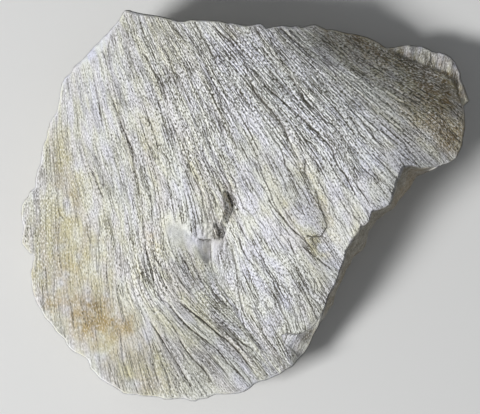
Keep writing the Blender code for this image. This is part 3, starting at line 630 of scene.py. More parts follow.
def fine_relief(u, v):
    mask = striation_mask(u, v)
    t, s = strand(u, v)
    power = strength_of(u, v) * mask
    ledge = soft_polygon(u, v, LEDGE, 1.5)
    power = np.maximum(power, 0.55 * ledge)
    power = np.maximum(power, 0.95 * soft_polygon(u, v, TORN_WALL, 1.2))
    pace = table_lookup(PACE, u, v, 2.0)
    spare, widen = smooth_step((0.84 - pace) / 0.38), 1.0 / np.clip(pace, 0.3, 1.0)
    t = t + 0.8 * gradient_noise(s / 14.0, t / 9.0, 51)
    broad = drawn_out(t, s, 9.0, 130.0, 52, spare)
    ridges = drawn_out(t, s, 4.4, 60.0, 53, spare)
    thin = drawn_out(t, s, 2.9, 26.0, 54, spare)
    calm = np.clip(0.45 * blob(u, v, 85, 130, 40, 70) + 0.35 * blob(u, v, 72, 210, 34, 50) + 0.45 * blob(u, v, 337, 245, 13, 24)
                   + 0.25 * blob(u, v, 290, 112, 36, 26) + 0.75 * blob(u, v, 440, 126, 26, 18, 35), 0.0, 0.75)
    z = power * (0.05 * (1.0 - calm) * ridge_shape(broad) + 0.050 * (1.0 - 0.7 * calm) * ridge_shape(ridges) + 0.025 * ridge_shape(thin))
    # grooves along the level lines of a drawn-out noise: they run, meet and split
    cuts = []
    for across, along, width, depth, seed in ((8.0, 100.0, 1.5, 0.17, 55), (5.0, 55.0, 1.3, 0.12, 57)):
        level = drawn_out(t, s, across, along, seed, spare)
        slope = (drawn_out(t + 0.02 * across, s, across, along, seed, spare) - level) / (0.02 * across)
        away = level / np.maximum(np.abs(slope), 0.45 / across) * widen
        groove = np.clip(1.0 - np.abs(away) / width, 0.0, 1.0)
        open_ = np.clip(0.38 + 0.65 * gradient_noise(t / (2.2 * across), s / (0.5 * along), seed + 1), 0.0, 1.2)
        open_ = open_ * np.clip((np.abs(slope) * across - 0.5) / 0.8, 0.0, 1.0)
        z = z - power * depth * (1.0 - 0.6 * calm) * open_ * groove
        cuts += [np.clip(away, -9.0, 9.0), open_ * power * (1.0 - 0.35 * calm)]
    # the long grooves: a soft trough in the mesh, its sharp floor drawn dark from the signed distance as painted shade
    nearest = np.full(u.shape, 9.0)
    weight = np.zeros(u.shape)
    sway = raster_noise(16.0, 81)
    uu, vv = u + 0.45 * sway(u, v), v + 0.25 * sway(v, u)
    for depth, width, line in GROOVES:
        dist, side, share = polyline_distance(uu, vv, line, 16.0)
        ends = smooth_step(share / 0.12 + 0.1) * smooth_step((1.0 - share) / 0.12 + 0.1)
        broken = np.clip(0.95 + 0.30 * sway(u * 1.7, v * 1.7), 0.35, 1.3)
        z = z - 0.52 * depth * broken * ends * np.maximum(0.0, 1.0 - dist / (0.72 * width))
        # the lip on the right-hand bank stands a little proud
        z = z + 0.14 * depth * ends * np.exp(-((dist - 1.4 * width) / width) ** 2) * (side < 0)
        better = dist < np.abs(nearest)
        nearest = np.where(better, dist * np.where(side == 0, 1.0, side), nearest)
        weight = np.where(better, (0.35 + depth) * broken * ends * smooth_step((3.2 - dist) / 1.2), weight)
    for heavy, crack in CRACKS:
        dist, side, share = polyline_distance(u, v, crack, 12.0)
        ends = smooth_step(share / 0.1 + 0.3) * smooth_step((1 - share) / 0.1 + 0.3)
        z = z - 0.44 * heavy * np.clip(1.3 - dist / 1.2, 0.0, 1.0) * ends
        better = dist < np.abs(nearest)
        nearest = np.where(better, dist * np.where(side == 0, 1.0, side), nearest)
        weight = np.where(better, heavy * ends * smooth_step((3.2 - dist) / 1.2), weight)
    cuts = [nearest, weight] + cuts
    grain = RNG.standard_normal(u.shape)
    grain = np.where(grain < 0, grain * 1.3, grain * 0.6)
    lumps = raster_noise(3.0, 21)(u, v)
    z = z + (0.010 + 0.006 * mask) * grain + 0.012 * lumps * (0.5 + 0.5 * mask)
    # broken facets are lumpy where no striations run
    bare = 1.0 - mask
    z = z + bare * (0.10 * gradient_noise(u / 6.0, v / 6.0, 61) + 0.05 * gradient_noise(u / 2.6, v / 2.6, 62))
    return z, cuts, power, mask, spare, widen


# thin cracks along the sheet edges, the ledge brow and the broken corner: a shallow cut in the mesh, drawn dark in the
# colour as a painted shadow line
CRACKS = [
    (0.80, [(431, 49), (432, 55), (431.5, 60), (434, 66)]),
    (0.62, [(304.5, 158), (305, 164), (303.8, 172), (306.3, 177), (309.5, 184), (311, 189.5)]),
    (0.62, [(315.7, 190.5), (316.8, 197), (318.8, 204), (321.8, 211), (324.3, 219), (327, 226)]),
    (0.80, [(327, 226), (324, 230.5), (320.8, 236.2), (316, 236.4), (311.5, 236.4), (306, 235)]),
    (0.80, [(312, 237.5), (313, 242), (316.5, 246.5)]),
    (0.80, [(199, 239), (203, 240.2), (207, 239.6), (212, 240.3)]),
    (0.34, [(283, 333), (286, 332.5), (290, 334), (294, 333.6), (299, 335.2), (303, 333)]),
]


# ------------------------------------------------------------------ grids
def boundary_runs():
    outer = [p[:2] for p in OUTLINE]
    n = len(outer)
    o = np.asarray(outer, float)
    tangent = np.roll(o, -1, 0) - np.roll(o, 1, 0)
    tangent /= np.linalg.norm(tangent, axis=1)[:, None]
    inner = o + np.stack([-tangent[:, 1], tangent[:, 0]], 1) * RIM_MM * PPM
    for k, p in enumerate(OUTLINE):
        if len(p) == 4:
            inner[k] = p[2:]
    marks = [outer.index(c) for c in CORNERS] + [n]
    counts = [NU, NV, NU, NV]
    runs = []
    for k in range(4):
        ids = [i % n for i in range(marks[k], marks[k + 1] + 1)]
        runs.append(spread(o[ids], counts[k], inner[ids]))
    return runs


def coons(top, right, bottom, left):
    bottom_r, left_r = bottom[::-1], left[::-1]
    a = np.linspace(0, 1, len(top))[:, None, None]
    b = np.linspace(0, 1, len(right))[None, :, None]
    return ((1 - b) * top[:, None] + b * bottom_r[:, None] + (1 - a) * left_r[None] + a * right[None]
            - (1 - a) * (1 - b) * top[0] - a * (1 - b) * top[-1] - (1 - a) * b * bottom_r[0] - a * b * bottom_r[-1])


def relax(g, passes):
    for _ in range(passes):
        e, w = g[2:, 1:-1], g[:-2, 1:-1]
        s, n = g[1:-1, 2:], g[1:-1, :-2]
        d1, d2 = (e - w) * 0.5, (s - n) * 0.5
        cross = (g[2:, 2:] - g[2:, :-2] - g[:-2, 2:] + g[:-2, :-2]) * 0.25
        alpha = (d2 ** 2).sum(-1, keepdims=True) + 1e-4
        gamma = (d1 ** 2).sum(-1, keepdims=True) + 1e-4
        beta = (d1 * d2).sum(-1, keepdims=True)
        g[1:-1, 1:-1] = 0.5 * (alpha * (e + w) + gamma * (s + n) - 2.0 * beta * cross) / (alpha + gamma)
    return g


def relaxed_grid(runs):
    """Relax on a coarse grid first, then refine it level by level."""
    level = 4
    edges = [r[::level] for r in runs]
    g = relax(coons(*edges), 1500)
    while level > 1:
        level //= 2
        edges = [r[::level] for r in runs]
        fine = np.zeros((g.shape[0] * 2 - 1, g.shape[1] * 2 - 1, 2))
        fine[::2, ::2] = g
        fine[1::2, ::2] = 0.5 * (g[1:] + g[:-1])
        fine[:, 1::2] = 0.5 * (fine[:, 2::2] + fine[:, :-2:2])
        top, right, bottom, left = edges
        fine[:, 0], fine[-1, :], fine[:, -1], fine[0, :] = top, right, bottom[::-1], left[::-1]
        g = relax(fine, 250 if level == 2 else 120)
    return g


def loop_blur(loop, width):
    reach = int(3 * width)
    k = np.arange(-reach, reach + 1)
    w = np.exp(-0.5 * (k / width) ** 2)
    w /= w.sum()
    return sum(wi * np.roll(loop, ki, 0) for wi, ki in zip(w, k))


def build_stone():
    runs = boundary_runs()
    outer_runs, inner_runs = [r[0] for r in runs], [r[1] for r in runs]
    grid = relaxed_grid(inner_runs)
    nu1, nv1 = NU + 1, NV + 1
    gu, gv = grid[..., 0].ravel(), grid[..., 1].ravel()
    broad = broad_height(gu, gv)
    fine, cuts, power, mask, spare, widen = fine_relief(gu, gv)
    z = broad + fine

    order = np.array([(i, 0) for i in range(NU)] + [(NU, j) for j in range(NV)]
                     + [(i, NV) for i in range(NU, 0, -1)] + [(0, j) for j in range(NV, 0, -1)])
    top_index = lambda i, j: i * nv1 + j
    loop = top_index(order[:, 0], order[:, 1])
    n = len(loop)
    outer = np.concatenate([r[:-1] for r in outer_runs])
    inner = np.concatenate([r[:-1] for r in inner_runs])
    rim_z = z[loop]
    rim_smooth = loop_blur(broad[loop][:, None], 1.5)[:, 0]
    gap = np.linalg.norm(outer - inner, axis=1)
    sloped = smooth_step((gap - 3.0) / 4.0)
    bed = loop_blur(outer, 18.0)
    middle = bed.mean(0)
    bed = middle + (bed - middle) * 0.96
    widest_z = rim_smooth - 1.2 * (1.0 - sloped) - sloped * rim_smooth * 0.62

    points = [np.stack([gu, gv, z], 1)]
    first_rings = 5
    for ring in range(1, RINGS + 1):
        if ring <= first_rings:
            share = ring / first_rings
            p = inner + (outer - inner) * share
            zz = rim_z + (widest_z - rim_z) * (share ** (1.0 + 0.6 * (1.0 - sloped)))
        else:
            share = (ring - first_rings) / (RINGS - first_rings)
            p = outer + (bed - outer) * share ** 1.6
            zz = widest_z * (1.0 - share)
        points.append(np.column_stack([p, zz]))
    # bed grid, a quarter of the face grid's density
    bed_runs = []
    start = 0
    for count in (NU, NV, NU, NV):
        ids = np.arange(start, start + count + 1, 4) % n
        bed_runs.append(middle + (bed[ids] - middle) * 0.985)
        start += count
    bed_grid = relax(coons(*bed_runs), 600)
    bu, bv = bed_grid[..., 0].ravel(), bed_grid[..., 1].ravel()
    points.append(np.column_stack([bu, bv, np.zeros(len(bu))]))
    xyz = np.concatenate(points)

    # faces
    i, j = np.meshgrid(np.arange(NU), np.arange(NV), indexing='ij')
    a = top_index(i, j).ravel()
    quads = [np.stack([a, a + 1, a + nv1 + 1, a + nv1], 1)]
    base = nu1 * nv1
    previous = loop
    for ring in range(RINGS):
        current = base + ring * n + np.arange(n)
        quads.append(np.stack([previous, np.roll(previous, -1), np.roll(current, -1), current], 1))
        previous = current
    bed_base = base + RINGS * n
    mu, mv = NU // 4, NV // 4
    bi = lambda p, q: bed_base + p * (mv + 1) + q
    p, q = np.meshgrid(np.arange(mu), np.arange(mv), indexing='ij')
    b = bi(p, q).ravel()
    quads.append(np.stack([b, b + mv + 1, b + mv + 2, b + 1], 1))
    faces = np.concatenate(quads).tolist()
    bed_order = ([bi(k, 0) for k in range(mu)] + [bi(mu, k) for k in range(mv)]
                 + [bi(k, mv) for k in range(mu, 0, -1)] + [bi(0, k) for k in range(mv, 0, -1)])
    m = len(bed_order)
    for k in range(m):
        c0, c1 = bed_order[k], bed_order[(k + 1) % m]
        f = [int(previous[(4 * k + t) % n]) for t in range(5)]
        faces += [[f[0], f[1], c0], [f[1], f[2], c0], [f[2], c1, c0], [f[2], f[3], c1], [f[3], f[4], c1]]
    return xyz, faces, n, base, bed_base, fine, cuts, power, mask, spare, widen, sloped, middle


FACETS = [
    (24, 200, 180, 28, 14), (45, 140, 160, 18, 13), (75, 65, 140, 35, 17), (112, 28, 128, 15, 20),
    (170, 19, 93, 24, 22), (240, 25, 85, 12, 15), (300, 27, 95, 30, 16), (370, 37, 65, 26, 12),
    (430, 47, 75, 36, 9), (463, 80, 10, 30, 9), (464, 130, -10, 20, 12), (438, 167, -70, 24, 12),
    (385, 214, -48, 38, 9), (345, 276, -25, 32, 9), (318, 330, -20, 20, 10), (285, 372, -60, 36, 11),
    (230, 395, -85, 16, 12), (170, 400, -92, 34, 12), (100, 380, -125, 26, 13), (55, 332, -140, 36, 13),
    (31, 285, -170, 16, 11),
]


def facet_cut(x, y, z):
    """Walls pulled level inward behind the broken facets, arrays in mm."""
    for u, v, bearing, lean, start in FACETS:
        px, py = (u - CENTRE[0]) / PPM, (CENTRE[1] - v) / PPM
        near = np.hypot(x - px, y - py) / 24.0
        cx, cy = np.cos(np.radians(bearing)), np.sin(np.radians(bearing))
        over = (x - px) * cx + (y - py) * cy - (z - start) * np.tan(np.radians(lean))
        push = np.where((near < 1.0) & (over > 0), over * smooth_step((1.0 - near) * 2.5), 0.0)
        x, y = x - cx * push, y - cy * push
    return x, y


def finish_mesh():
    xyz, faces, n, base, bed_base, fine, cuts, power, mask, spare, widen, sloped, middle = build_stone()
    x = (xyz[:, 0] - CENTRE[0]) / PPM
    y = (CENTRE[1] - xyz[:, 1]) / PPM
    z = xyz[:, 2].copy()
    mx, my = (middle[0] - CENTRE[0]) / PPM, (CENTRE[1] - middle[1]) / PPM
    # broken walls: hollows, ledges and grain, all pushed inward
    wall = np.arange(base + 5 * n, bed_base)
    share = (np.repeat(np.arange(6, RINGS + 1), n) - 5) / (RINGS - 5.0)
    wall = np.arange(base + 5 * n, base + RINGS * n)
    rough = np.sin(np.pi * np.minimum(share * 1.15, 1.0))
    for t, k in enumerate(wall):
        co = Vector((x[k], y[k], z[k]))
        d = 3.0 * rough[t] * (0.5 + 0.5 * noise.noise(co / 11.0))
        d += 0.9 * min(1.0, 3.0 * share[t]) * (0.5 + 0.5 * noise.fractal(co / 4.0, 0.8, 2.1, 4))
        inward = Vector((mx - x[k], my - y[k], 0.0)).normalized()
        x[k] += inward.x * d
        y[k] += inward.y * d
    x[wall], y[wall] = facet_cut(x[wall], y[wall], z[wall])
    # slope and ring grain on the upper part of the walls
    upper = np.arange(base, base + 5 * n)
    for k in upper:
        co = Vector((x[k], y[k], z[k]))
        d = 0.22 * noise.fractal(co / 1.6, 0.9, 2.0, 4)
        z[k] += d
    # bed: the grid follows the cut walls, and the broken back dips up from the contact spots
    last = np.arange(base + (RINGS - 1) * n, base + RINGS * n)
    x[bed_base:], y[bed_base:] = facet_cut(x[bed_base:], y[bed_base:], z[bed_base:])
    for k in range(bed_base, len(x)):
        co = Vector((x[k], y[k], 0.0))
        d = noise.fractal(co / 16.0, 0.85, 2.1, 5)
        z[k] = max(0.0, 0.6 + 1.5 * d)
    for k in last:
        co = Vector((x[k], y[k], 0.0))
        z[k] = max(0.0, 0.6 + 1.2 * noise.fractal(co / 9.0, 0.85, 2.1, 4))
    lo, hi = [c / MM for c in CAD_BOX[0]], [c / MM for c in CAD_BOX[1]]
    x = np.clip(x, lo[0], hi[0])
    y = np.clip(y, lo[1], hi[1])
    z = np.clip(z, lo[2], hi[2])

    mesh = bpy.data.meshes.new("shatter_cone_stone")
    mesh.from_pydata(np.column_stack([x, y, z]).astype(float) * MM, [], faces)
    mesh.update()
    mesh.validate()
    if mesh.polygons[0].normal.z < 0:
        mesh.flip_normals()
    mesh.shade_smooth()

    # attributes for the material
    u, v = xyz[:, 0], xyz[:, 1]
    count = len(x)
    face_n = base
    on_face = np.zeros(count)
    on_face[:face_n] = 1.0
    # the bevel round the rim is fresh pale stone, except where a wall slopes away; on the west and south-west sides,
    # which face the key light, it is painted whiter as a highlight
    fresh_and_rim_highlight = np.zeros(count)
    for ring in range(1, 6):
        ids = base + (ring - 1) * n + np.arange(n)
        on_face[ids] = (1.0 - sloped) * (1.0 - smooth_step((ring - 3.0) / 3.0))
        chips = gradient_noise(np.arange(n) / 9.0, np.full(n, 0.3 * ring), 91) + 0.6 * gradient_noise(np.arange(n) / 3.5, np.full(n, 0.6 * ring), 92)
        fresh_and_rim_highlight[ids] = (1.0 - sloped) * smooth_step((ring - 1.5) / 2.0) * np.clip(0.80 + 0.40 * chips, 0.25, 1.1)
    for ring in range(6, 12):
        ids = base + (ring - 1) * n + np.arange(n)
        chips = gradient_noise(np.arange(n) / 11.0, np.full(n, 0.25 * ring), 93) + 0.7 * gradient_noise(np.arange(n) / 4.0, np.full(n, 0.5 * ring), 94)
        fresh_and_rim_highlight[ids] = (1.0 - sloped) * np.clip(0.9 * chips - 0.16 * (ring - 6), 0.0, 0.8)
    ru, rv = xyz[:, 0], xyz[:, 1]
    # the west and south-west part of the stone, the sides the key light faces
    lit_side = smooth_step((300.0 - ru) / 40.0) * np.maximum(smooth_step((126.0 - ru) / 12.0), smooth_step((rv - 200.0) / 60.0))
    rim_dist = polyline_distance(ru[:face_n], rv[:face_n], [p[:2] for p in OUTLINE] + [OUTLINE[0][:2]], 12.0)[0]
    fresh_and_rim_highlight[:face_n] = 0.25 * np.exp(-(np.maximum(rim_dist - 2.0, 0.0) / 1.6) ** 2)
    # painted highlight: the pale rim is strongest on the lit west and south-west sides
    fresh_and_rim_highlight = fresh_and_rim_highlight * (0.25 + 0.60 * lit_side)
    fresh_and_rim_highlight[:face_n] += 0.40 * blob(ru[:face_n], rv[:face_n], 180, 233, 11, 8) + 0.70 * blob(ru[:face_n], rv[:face_n], 336, 246, 7, 17)
    fresh_and_rim_highlight[:face_n] += 0.55 * blob(ru[:face_n], rv[:face_n], 320, 114, 97, 47, 38)
    orange = (1.2 * blob(u, v, 93, 320, 17, 13, 10) + 0.7 * blob(u, v, 52, 305, 9, 7) + 0.45 * blob(u, v, 128, 324, 9, 8)
              + 0.30 * blob(u, v, 70, 275, 34, 26) + 0.30 * blob(u, v, 74, 198, 5, 14) + 0.45 * blob(u, v, 153, 239, 5, 10)
              + 0.15 * blob(u, v, 148, 390, 16, 8) + 0.18 * blob(u, v, 60, 180, 8, 30) + 0.15 * blob(u, v, 148, 130, 10, 25)
              + 0.25 * blob(u, v, 110, 335, 20, 10) + 0.60 * blob(u, v, 430, 122, 15, 9, 25) + 0.75 * blob(u, v, 453, 143, 9, 8))
    # brown: real stains and patina, plus painted shade on the torn wall by the chip, on the broken corner facet and on
    # the upper right flank that faces away from the key light
    brown_stain_and_shade = (0.40 * soft_polygon(u, v, EDGE_FACET, 2.0) + 0.45 * blob(u, v, 91, 305, 12, 7) + 0.30 * blob(u, v, 92, 320, 14, 9) + 0.25 * blob(u, v, 130, 322, 6, 7) + 0.08 * blob(u, v, 297, 350, 14, 10) + 0.9 * blob(u, v, 452, 140, 12, 13, 30) + 0.45 * blob(u, v, 432, 122, 18, 10, 20) + 0.85 * blob(u, v, 362, 42, 26, 9, 20)
             + 0.25 * blob(u, v, 206, 252, 5, 8) + 0.35 * blob(u, v, 220, 231, 5, 7) + 0.65 * blob(u, v, 228, 200, 5, 12) + 0.40 * blob(u, v, 225, 217, 5, 5) + 0.38 * blob(u, v, 400, 62, 24, 12, 20) + 0.85 * blob(u, v, 440, 88, 22, 17, 20) + 0.08 * soft_polygon(u, v, LEDGE, 2.0) + 0.3 * blob(u, v, 340, 36, 22, 9, 10) + 0.35 * blob(u, v, 430, 96, 16, 10, 20))
    yellow = (0.5 * blob(u, v, 55, 155, 12, 22) + 0.65 * blob(u, v, 64, 205, 26, 44) + 0.7 * blob(u, v, 235, 33, 8, 5)
              + 0.8 * blob(u, v, 318, 245, 10, 5, 40) + 0.6 * blob(u, v, 297, 160, 6, 10) + 0.6 * blob(u, v, 387, 147, 8, 5)
              + 0.5 * blob(u, v, 375, 180, 8, 6) + 0.65 * blob(u, v, 145, 382, 26, 14) + 0.75 * blob(u, v, 62, 268, 36, 34)
              + 0.3 * blob(u, v, 330, 80, 14, 8, 40) + 0.25 * blob(u, v, 175, 70, 26, 34) + 0.6 * blob(u, v, 458, 88, 3, 14, -20)
              + 0.35 * blob(u, v, 150, 275, 16, 30, -20) + 0.45 * blob(u, v, 200, 284, 13, 26, -30) + 0.2 * blob(u, v, 150, 150, 16, 40)
              + 0.8 * blob(u, v, 438, 122, 26, 24) + 0.95 * blob(u, v, 388, 64, 42, 17, 20) + 0.1 * blob(u, v, 355, 250, 8, 40, 60)
              + 0.35 * blob(u, v, 120, 350, 34, 20, 20) + 1.1 * blob(u, v, 323, 205, 28, 5, 68) + 0.7 * blob(u, v, 332, 234, 14, 4.5, 65) + 0.45 * blob(u, v, 136, 345, 30, 16) + 0.9 * blob(u, v, 316, 243, 10, 6, 50) + 0.4 * blob(u, v, 140, 372, 13, 17) + 0.5 * blob(u, v, 290, 212, 4, 18, -28)
              + 0.35 * blob(u, v, 305, 168, 7, 12) + 0.5 * blob(u, v, 420, 112, 26, 12, 20))
    cool = (0.8 * soft_polygon(u, v, SMOOTH_FACET, 3.0) + 0.7 * blob(u, v, 118, 197, 9, 11) + 0.45 * blob(u, v, 228, 48, 18, 14)
            + 1.0 * blob(u, v, 335, 248, 8, 20, 0) + 0.35 * blob(u, v, 350, 165, 18, 14) + 0.25 * blob(u, v, 290, 250, 20, 20)
            + 0.2 * blob(u, v, 90, 150, 10, 30) + 0.3 * blob(u, v, 265, 200, 20, 20) + 0.35 * blob(u, v, 182, 233, 12, 8)
            + 0.6 * soft_polygon(u, v, LEDGE, 2.0) + 0.2 * blob(u, v, 280, 310, 25, 18) + 0.50 * blob(u, v, 310, 108, 95, 50, 35) + 0.32 * blob(u, v, 311, 212, 6, 24, -22) + 0.55 * blob(u, v, 226, 268, 9, 22, -12) + 0.28 * blob(u, v, 372, 178, 30, 30)
            + 0.25 * blob(u, v, 268, 290, 40, 30) + 0.45 * blob(u, v, 198, 374, 8, 14) + 0.35 * blob(u, v, 232, 372, 14, 10) + 0.25 * blob(u, v, 120, 100, 40, 40)
            + 0.25 * blob(u, v, 235, 62, 24, 20) + 0.20 * blob(u, v, 388, 172, 24, 22) + 0.30 * blob(u, v, 295, 346, 16, 12) + 0.22 * blob(u, v, 190, 130, 22, 24)
            + 0.15 * blob(u, v, 200, 370, 26, 14) + 0.15 * blob(u, v, 120, 195, 14, 20))
    wander = raster_noise(26.0, 31)(u, v)
    wander2 = raster_noise(9.0, 32)(u, v)
    spotty = raster_noise(4.0, 33)(u, v)
    across, along = strand(u, v)
    streaky = gradient_noise(across / 3.4, along / 60.0, 41) * 0.7 + gradient_noise(across / 1.9, along / 30.0, 43) * 0.7
    broadstreak = gradient_noise(across / 12.0, along / 130.0, 42)
    quiet = np.clip(0.55 * blob(u, v, 85, 130, 34, 70) + 0.45 * blob(u, v, 75, 210, 34, 50) + 0.55 * blob(u, v, 337, 245, 13, 24)
                    + 0.25 * blob(u, v, 150, 375, 40, 24) + 0.25 * blob(u, v, 290, 112, 30, 24), 0.0, 0.65)
    streaky = streaky * (1.0 - quiet)
    broadstreak = broadstreak * (1.0 - 0.5 * quiet)
    orange = np.clip(orange * (1 + 0.25 * spotty + 0.2 * wander2), 0, 1.3)
    brown_stain_and_shade = np.clip(brown_stain_and_shade * (1 + 0.2 * spotty + 0.25 * streaky), 0, 1.3)
    yellow = np.clip(yellow * (1 + 0.35 * wander2 + 0.2 * streaky) + 0.10 * np.maximum(0, broadstreak) , 0, 1.2)
    cool = np.clip(cool * (1 + 0.3 * wander2) + 0.12 * np.maximum(0, wander), 0, 1.2)
    # hollows hold dirt, and are painted darker as shade
    hollow = np.zeros(count)
    f2 = fine.reshape(NU + 1, NV + 1)
    pad = np.pad(f2, 3, mode='edge')
    mean = sum(pad[a:a + NU + 1, b:b + NV + 1] for a in range(7) for b in range(7)) / 49.0
    hollow[:face_n] = np.clip((mean - f2).ravel() / 0.35, -1, 1.6)
    stone_side = 1.0 - on_face

    def put(name, r, g, b):
        attr = mesh.attributes.new(name, 'FLOAT_COLOR', 'POINT')
        attr.data.foreach_set('color', np.column_stack([r, g, b, np.ones(count)]).astype(np.float32).ravel())
    striated = np.zeros(count)
    striated[:face_n] = np.maximum(mask, 0.7 * soft_polygon(u[:face_n], v[:face_n], LEDGE, 1.5))
    vigour = np.zeros(count)
    vigour[:face_n] = power + 0.22 * blob(u[:face_n], v[:face_n], 311, 211, 9, 26, -22) + 0.20 * blob(u[:face_n], v[:face_n], 296, 344, 14, 16)
    vigour[:face_n] += 0.12 * blob(u[:face_n], v[:face_n], 436, 126, 22, 16, 35) - 0.10 * blob(u[:face_n], v[:face_n], 285, 112, 20, 18)
    put("tint_a", orange, brown_stain_and_shade, yellow)
    put("tint_b", cool, hollow * 0.5 + 0.5, stone_side)
    put("tint_c", streaky * 0.15 + 0.5, broadstreak * 0.15 + 0.5, wander * 0.15 + 0.5)
    # where the face is grainy, the drawn lines give way to pits and flecks
    lined = 1.0 - np.clip(0.60 * blob(u, v, 438, 126, 26, 18, 35) + 0.35 * blob(u, v, 85, 110, 36, 56) + 0.25 * blob(u, v, 70, 215, 30, 50)
                          + 0.40 * blob(u, v, 337, 245, 12, 24) + 0.30 * blob(u, v, 93, 320, 24, 16), 0.0, 0.7)
    put("marks", fresh_and_rim_highlight, striated, lined)
    lines = mesh.attributes.new("strand", 'FLOAT_VECTOR', 'POINT')
    lines.data.foreach_set('vector', np.column_stack([across, along, vigour]).astype(np.float32).ravel())
    # broad tone of the face, a colour multiplier: part weathering, part painted light and shade; the broken corner
    # facet and the nick are painted darker as shade, the torn wall by the chip is painted lighter to lift its shadow,
    # and a thin painted highlight runs along the lip of the broken corner
    tone_and_painted_light = (0.09 * blob(u, v, 345, 105, 42, 28) + 0.12 * blob(u, v, 345, 68, 26, 12, 20) + 0.08 * blob(u, v, 335, 150, 24, 24)
            + 0.08 * blob(u, v, 390, 125, 20, 18) - 0.06 * blob(u, v, 42, 240, 14, 80) - 0.09 * blob(u, v, 262, 290, 36, 34)
            - 0.10 * blob(u, v, 195, 372, 40, 18) - 0.06 * blob(u, v, 185, 325, 24, 20) - 0.15 * blob(u, v, 312, 213, 10, 24, -22) - 0.06 * blob(u, v, 226, 268, 10, 24, -12) - 0.06 * blob(u, v, 203, 282, 12, 26, -30)
            + 0.22 * blob(u, v, 374, 60, 18, 10, 20) + 0.10 * blob(u, v, 228, 206, 6, 14) + 0.03 * blob(u, v, 150, 378, 20, 14) + 0.10 * blob(u, v, 150, 275, 18, 26, -15) + 0.08 * blob(u, v, 285, 108, 34, 22, 40) + 0.05 * blob(u, v, 150, 360, 40, 24) + 0.05 * blob(u, v, 330, 120, 40, 26, 30) - 0.03 * blob(u, v, 60, 265, 24, 50) + 0.10 * blob(u, v, 337, 245, 8, 16)
            - 0.04 * blob(u, v, 290, 270, 30, 20)
            - 0.06 * blob(u, v, 78, 345, 20, 14) - 0.16 * blob(u, v, 410, 60, 24, 12, 25) - 0.14 * blob(u, v, 432, 82, 22, 14, 15)
            - 0.07 * blob(u, v, 455, 150, 12, 10) - 0.08 * blob(u, v, 300, 322, 18, 12)
            + 0.02 * blob(u, v, 90, 110, 40, 60) + 0.03 * blob(u, v, 310, 112, 50, 30, 35) + 0.03 * blob(u, v, 265, 290, 34, 30)
            + 0.07 * blob(u, v, 150, 378, 26, 14) + 0.05 * blob(u, v, 150, 275, 16, 26) + 0.10 * blob(u, v, 378, 60, 22, 10, 20)
            + 0.05 * blob(u, v, 337, 245, 8, 18) + 0.08 * blob(u, v, 438, 130, 20, 14, 30) - 0.09 * blob(u, v, 312, 213, 9, 24, -22)
            - 0.06 * blob(u, v, 104, 366, 12, 12) - 0.03 * blob(u, v, 417, 54, 18, 8, 20) - 0.08 * blob(u, v, 455, 70, 10, 12)
            + 0.12 * blob(u, v, 228, 205, 5, 14) + 0.03 * blob(u, v, 205, 370, 26, 16) + 0.03 * blob(u, v, 60, 140, 30, 50)
            + 0.03 * blob(u, v, 190, 100, 44, 60) + 0.06 * blob(u, v, 152, 275, 16, 24) + 0.03 * blob(u, v, 202, 285, 14, 28, -32)
            + 0.03 * blob(u, v, 385, 172, 24, 24) + 0.03 * blob(u, v, 245, 60, 40, 24) + 0.04 * blob(u, v, 338, 245, 8, 18)
            + 0.04 * blob(u, v, 93, 320, 16, 12) - 0.04 * blob(u, v, 312, 213, 9, 24, -22) - 0.05 * blob(u, v, 104, 364, 14, 12)
            + 0.10 * blob(u, v, 378, 60, 20, 9, 20) + 0.05 * blob(u, v, 436, 128, 16, 12, 30)
            # painted light on the torn wall by the chip (with the blobs round (228, 205)), lifting its shadow
            + 0.30 * soft_polygon(u, v, TORN_WALL, 1.5) - 0.05 * blob(u, v, 85, 130, 34, 60) - 0.03 * blob(u, v, 68, 230, 30, 60)
            + 0.03 * blob(u, v, 285, 108, 40, 26) + 0.03 * blob(u, v, 190, 80, 40, 50) + 0.03 * blob(u, v, 337, 245, 8, 18)
            + 0.05 * blob(u, v, 152, 275, 14, 22) + 0.10 * blob(u, v, 228, 204, 6, 14)
            # painted shade on the broken corner facet and the nick, which face away from the key light
            - 0.42 * soft_polygon(u, v, EDGE_FACET, 1.6) - 0.06 * soft_polygon(u, v, NICK, 3.0)
            # the thin strokes at (303, 329) and (321, 311): a painted highlight along the lip of the broken corner
            + 0.06 * blob(u, v, 300, 110, 62, 36, 36) + 0.02 * blob(u, v, 200, 120, 40, 50) + 0.18 * blob(u, v, 303, 329, 12, 1.8, -28) + 0.16 * blob(u, v, 321, 311, 9, 1.8, -62)
            + 0.03 * blob(u, v, 240, 62, 26, 22) - 0.06 * blob(u, v, 350, 38, 22, 7, 15) - 0.07 * blob(u, v, 417, 52, 18, 8, 20) - 0.11 * blob(u, v, 426, 78, 18, 12, 20)
            + 0.06 * blob(u, v, 380, 62, 18, 8, 20) - 0.03 * blob(u, v, 250, 172, 20, 16) - 0.04 * blob(u, v, 150, 130, 14, 22) - 0.04 * blob(u, v, 104, 364, 14, 12)
            + 0.06 * blob(u, v, 296, 348, 14, 12) + 0.04 * blob(u, v, 205, 250, 8, 8) + 0.03 * blob(u, v, 336, 245, 8, 18) - 0.03 * blob(u, v, 312, 213, 9, 24, -22)
            - 0.05 * blob(u, v, 454, 144, 9, 9) + 0.04 * blob(u, v, 180, 60, 24, 24) + 0.06 * blob(u, v, 150, 275, 14, 20) + 0.03 * blob(u, v, 93, 322, 16, 12)
            + 0.04 * blob(u, v, 190, 130, 22, 24) + 0.03 * blob(u, v, 296, 348, 14, 12) + 0.03 * blob(u, v, 336, 245, 8, 18))
    for name, group in (("cut_a", cuts[:3]), ("cut_b", cuts[3:6]), ("pace", (spare, widen, 1.0 + tone_and_painted_light[:face_n]))):
        full = np.full((count, 3), 1.0 if name == "pace" else 0.0)
        full[:face_n] = np.column_stack(group)
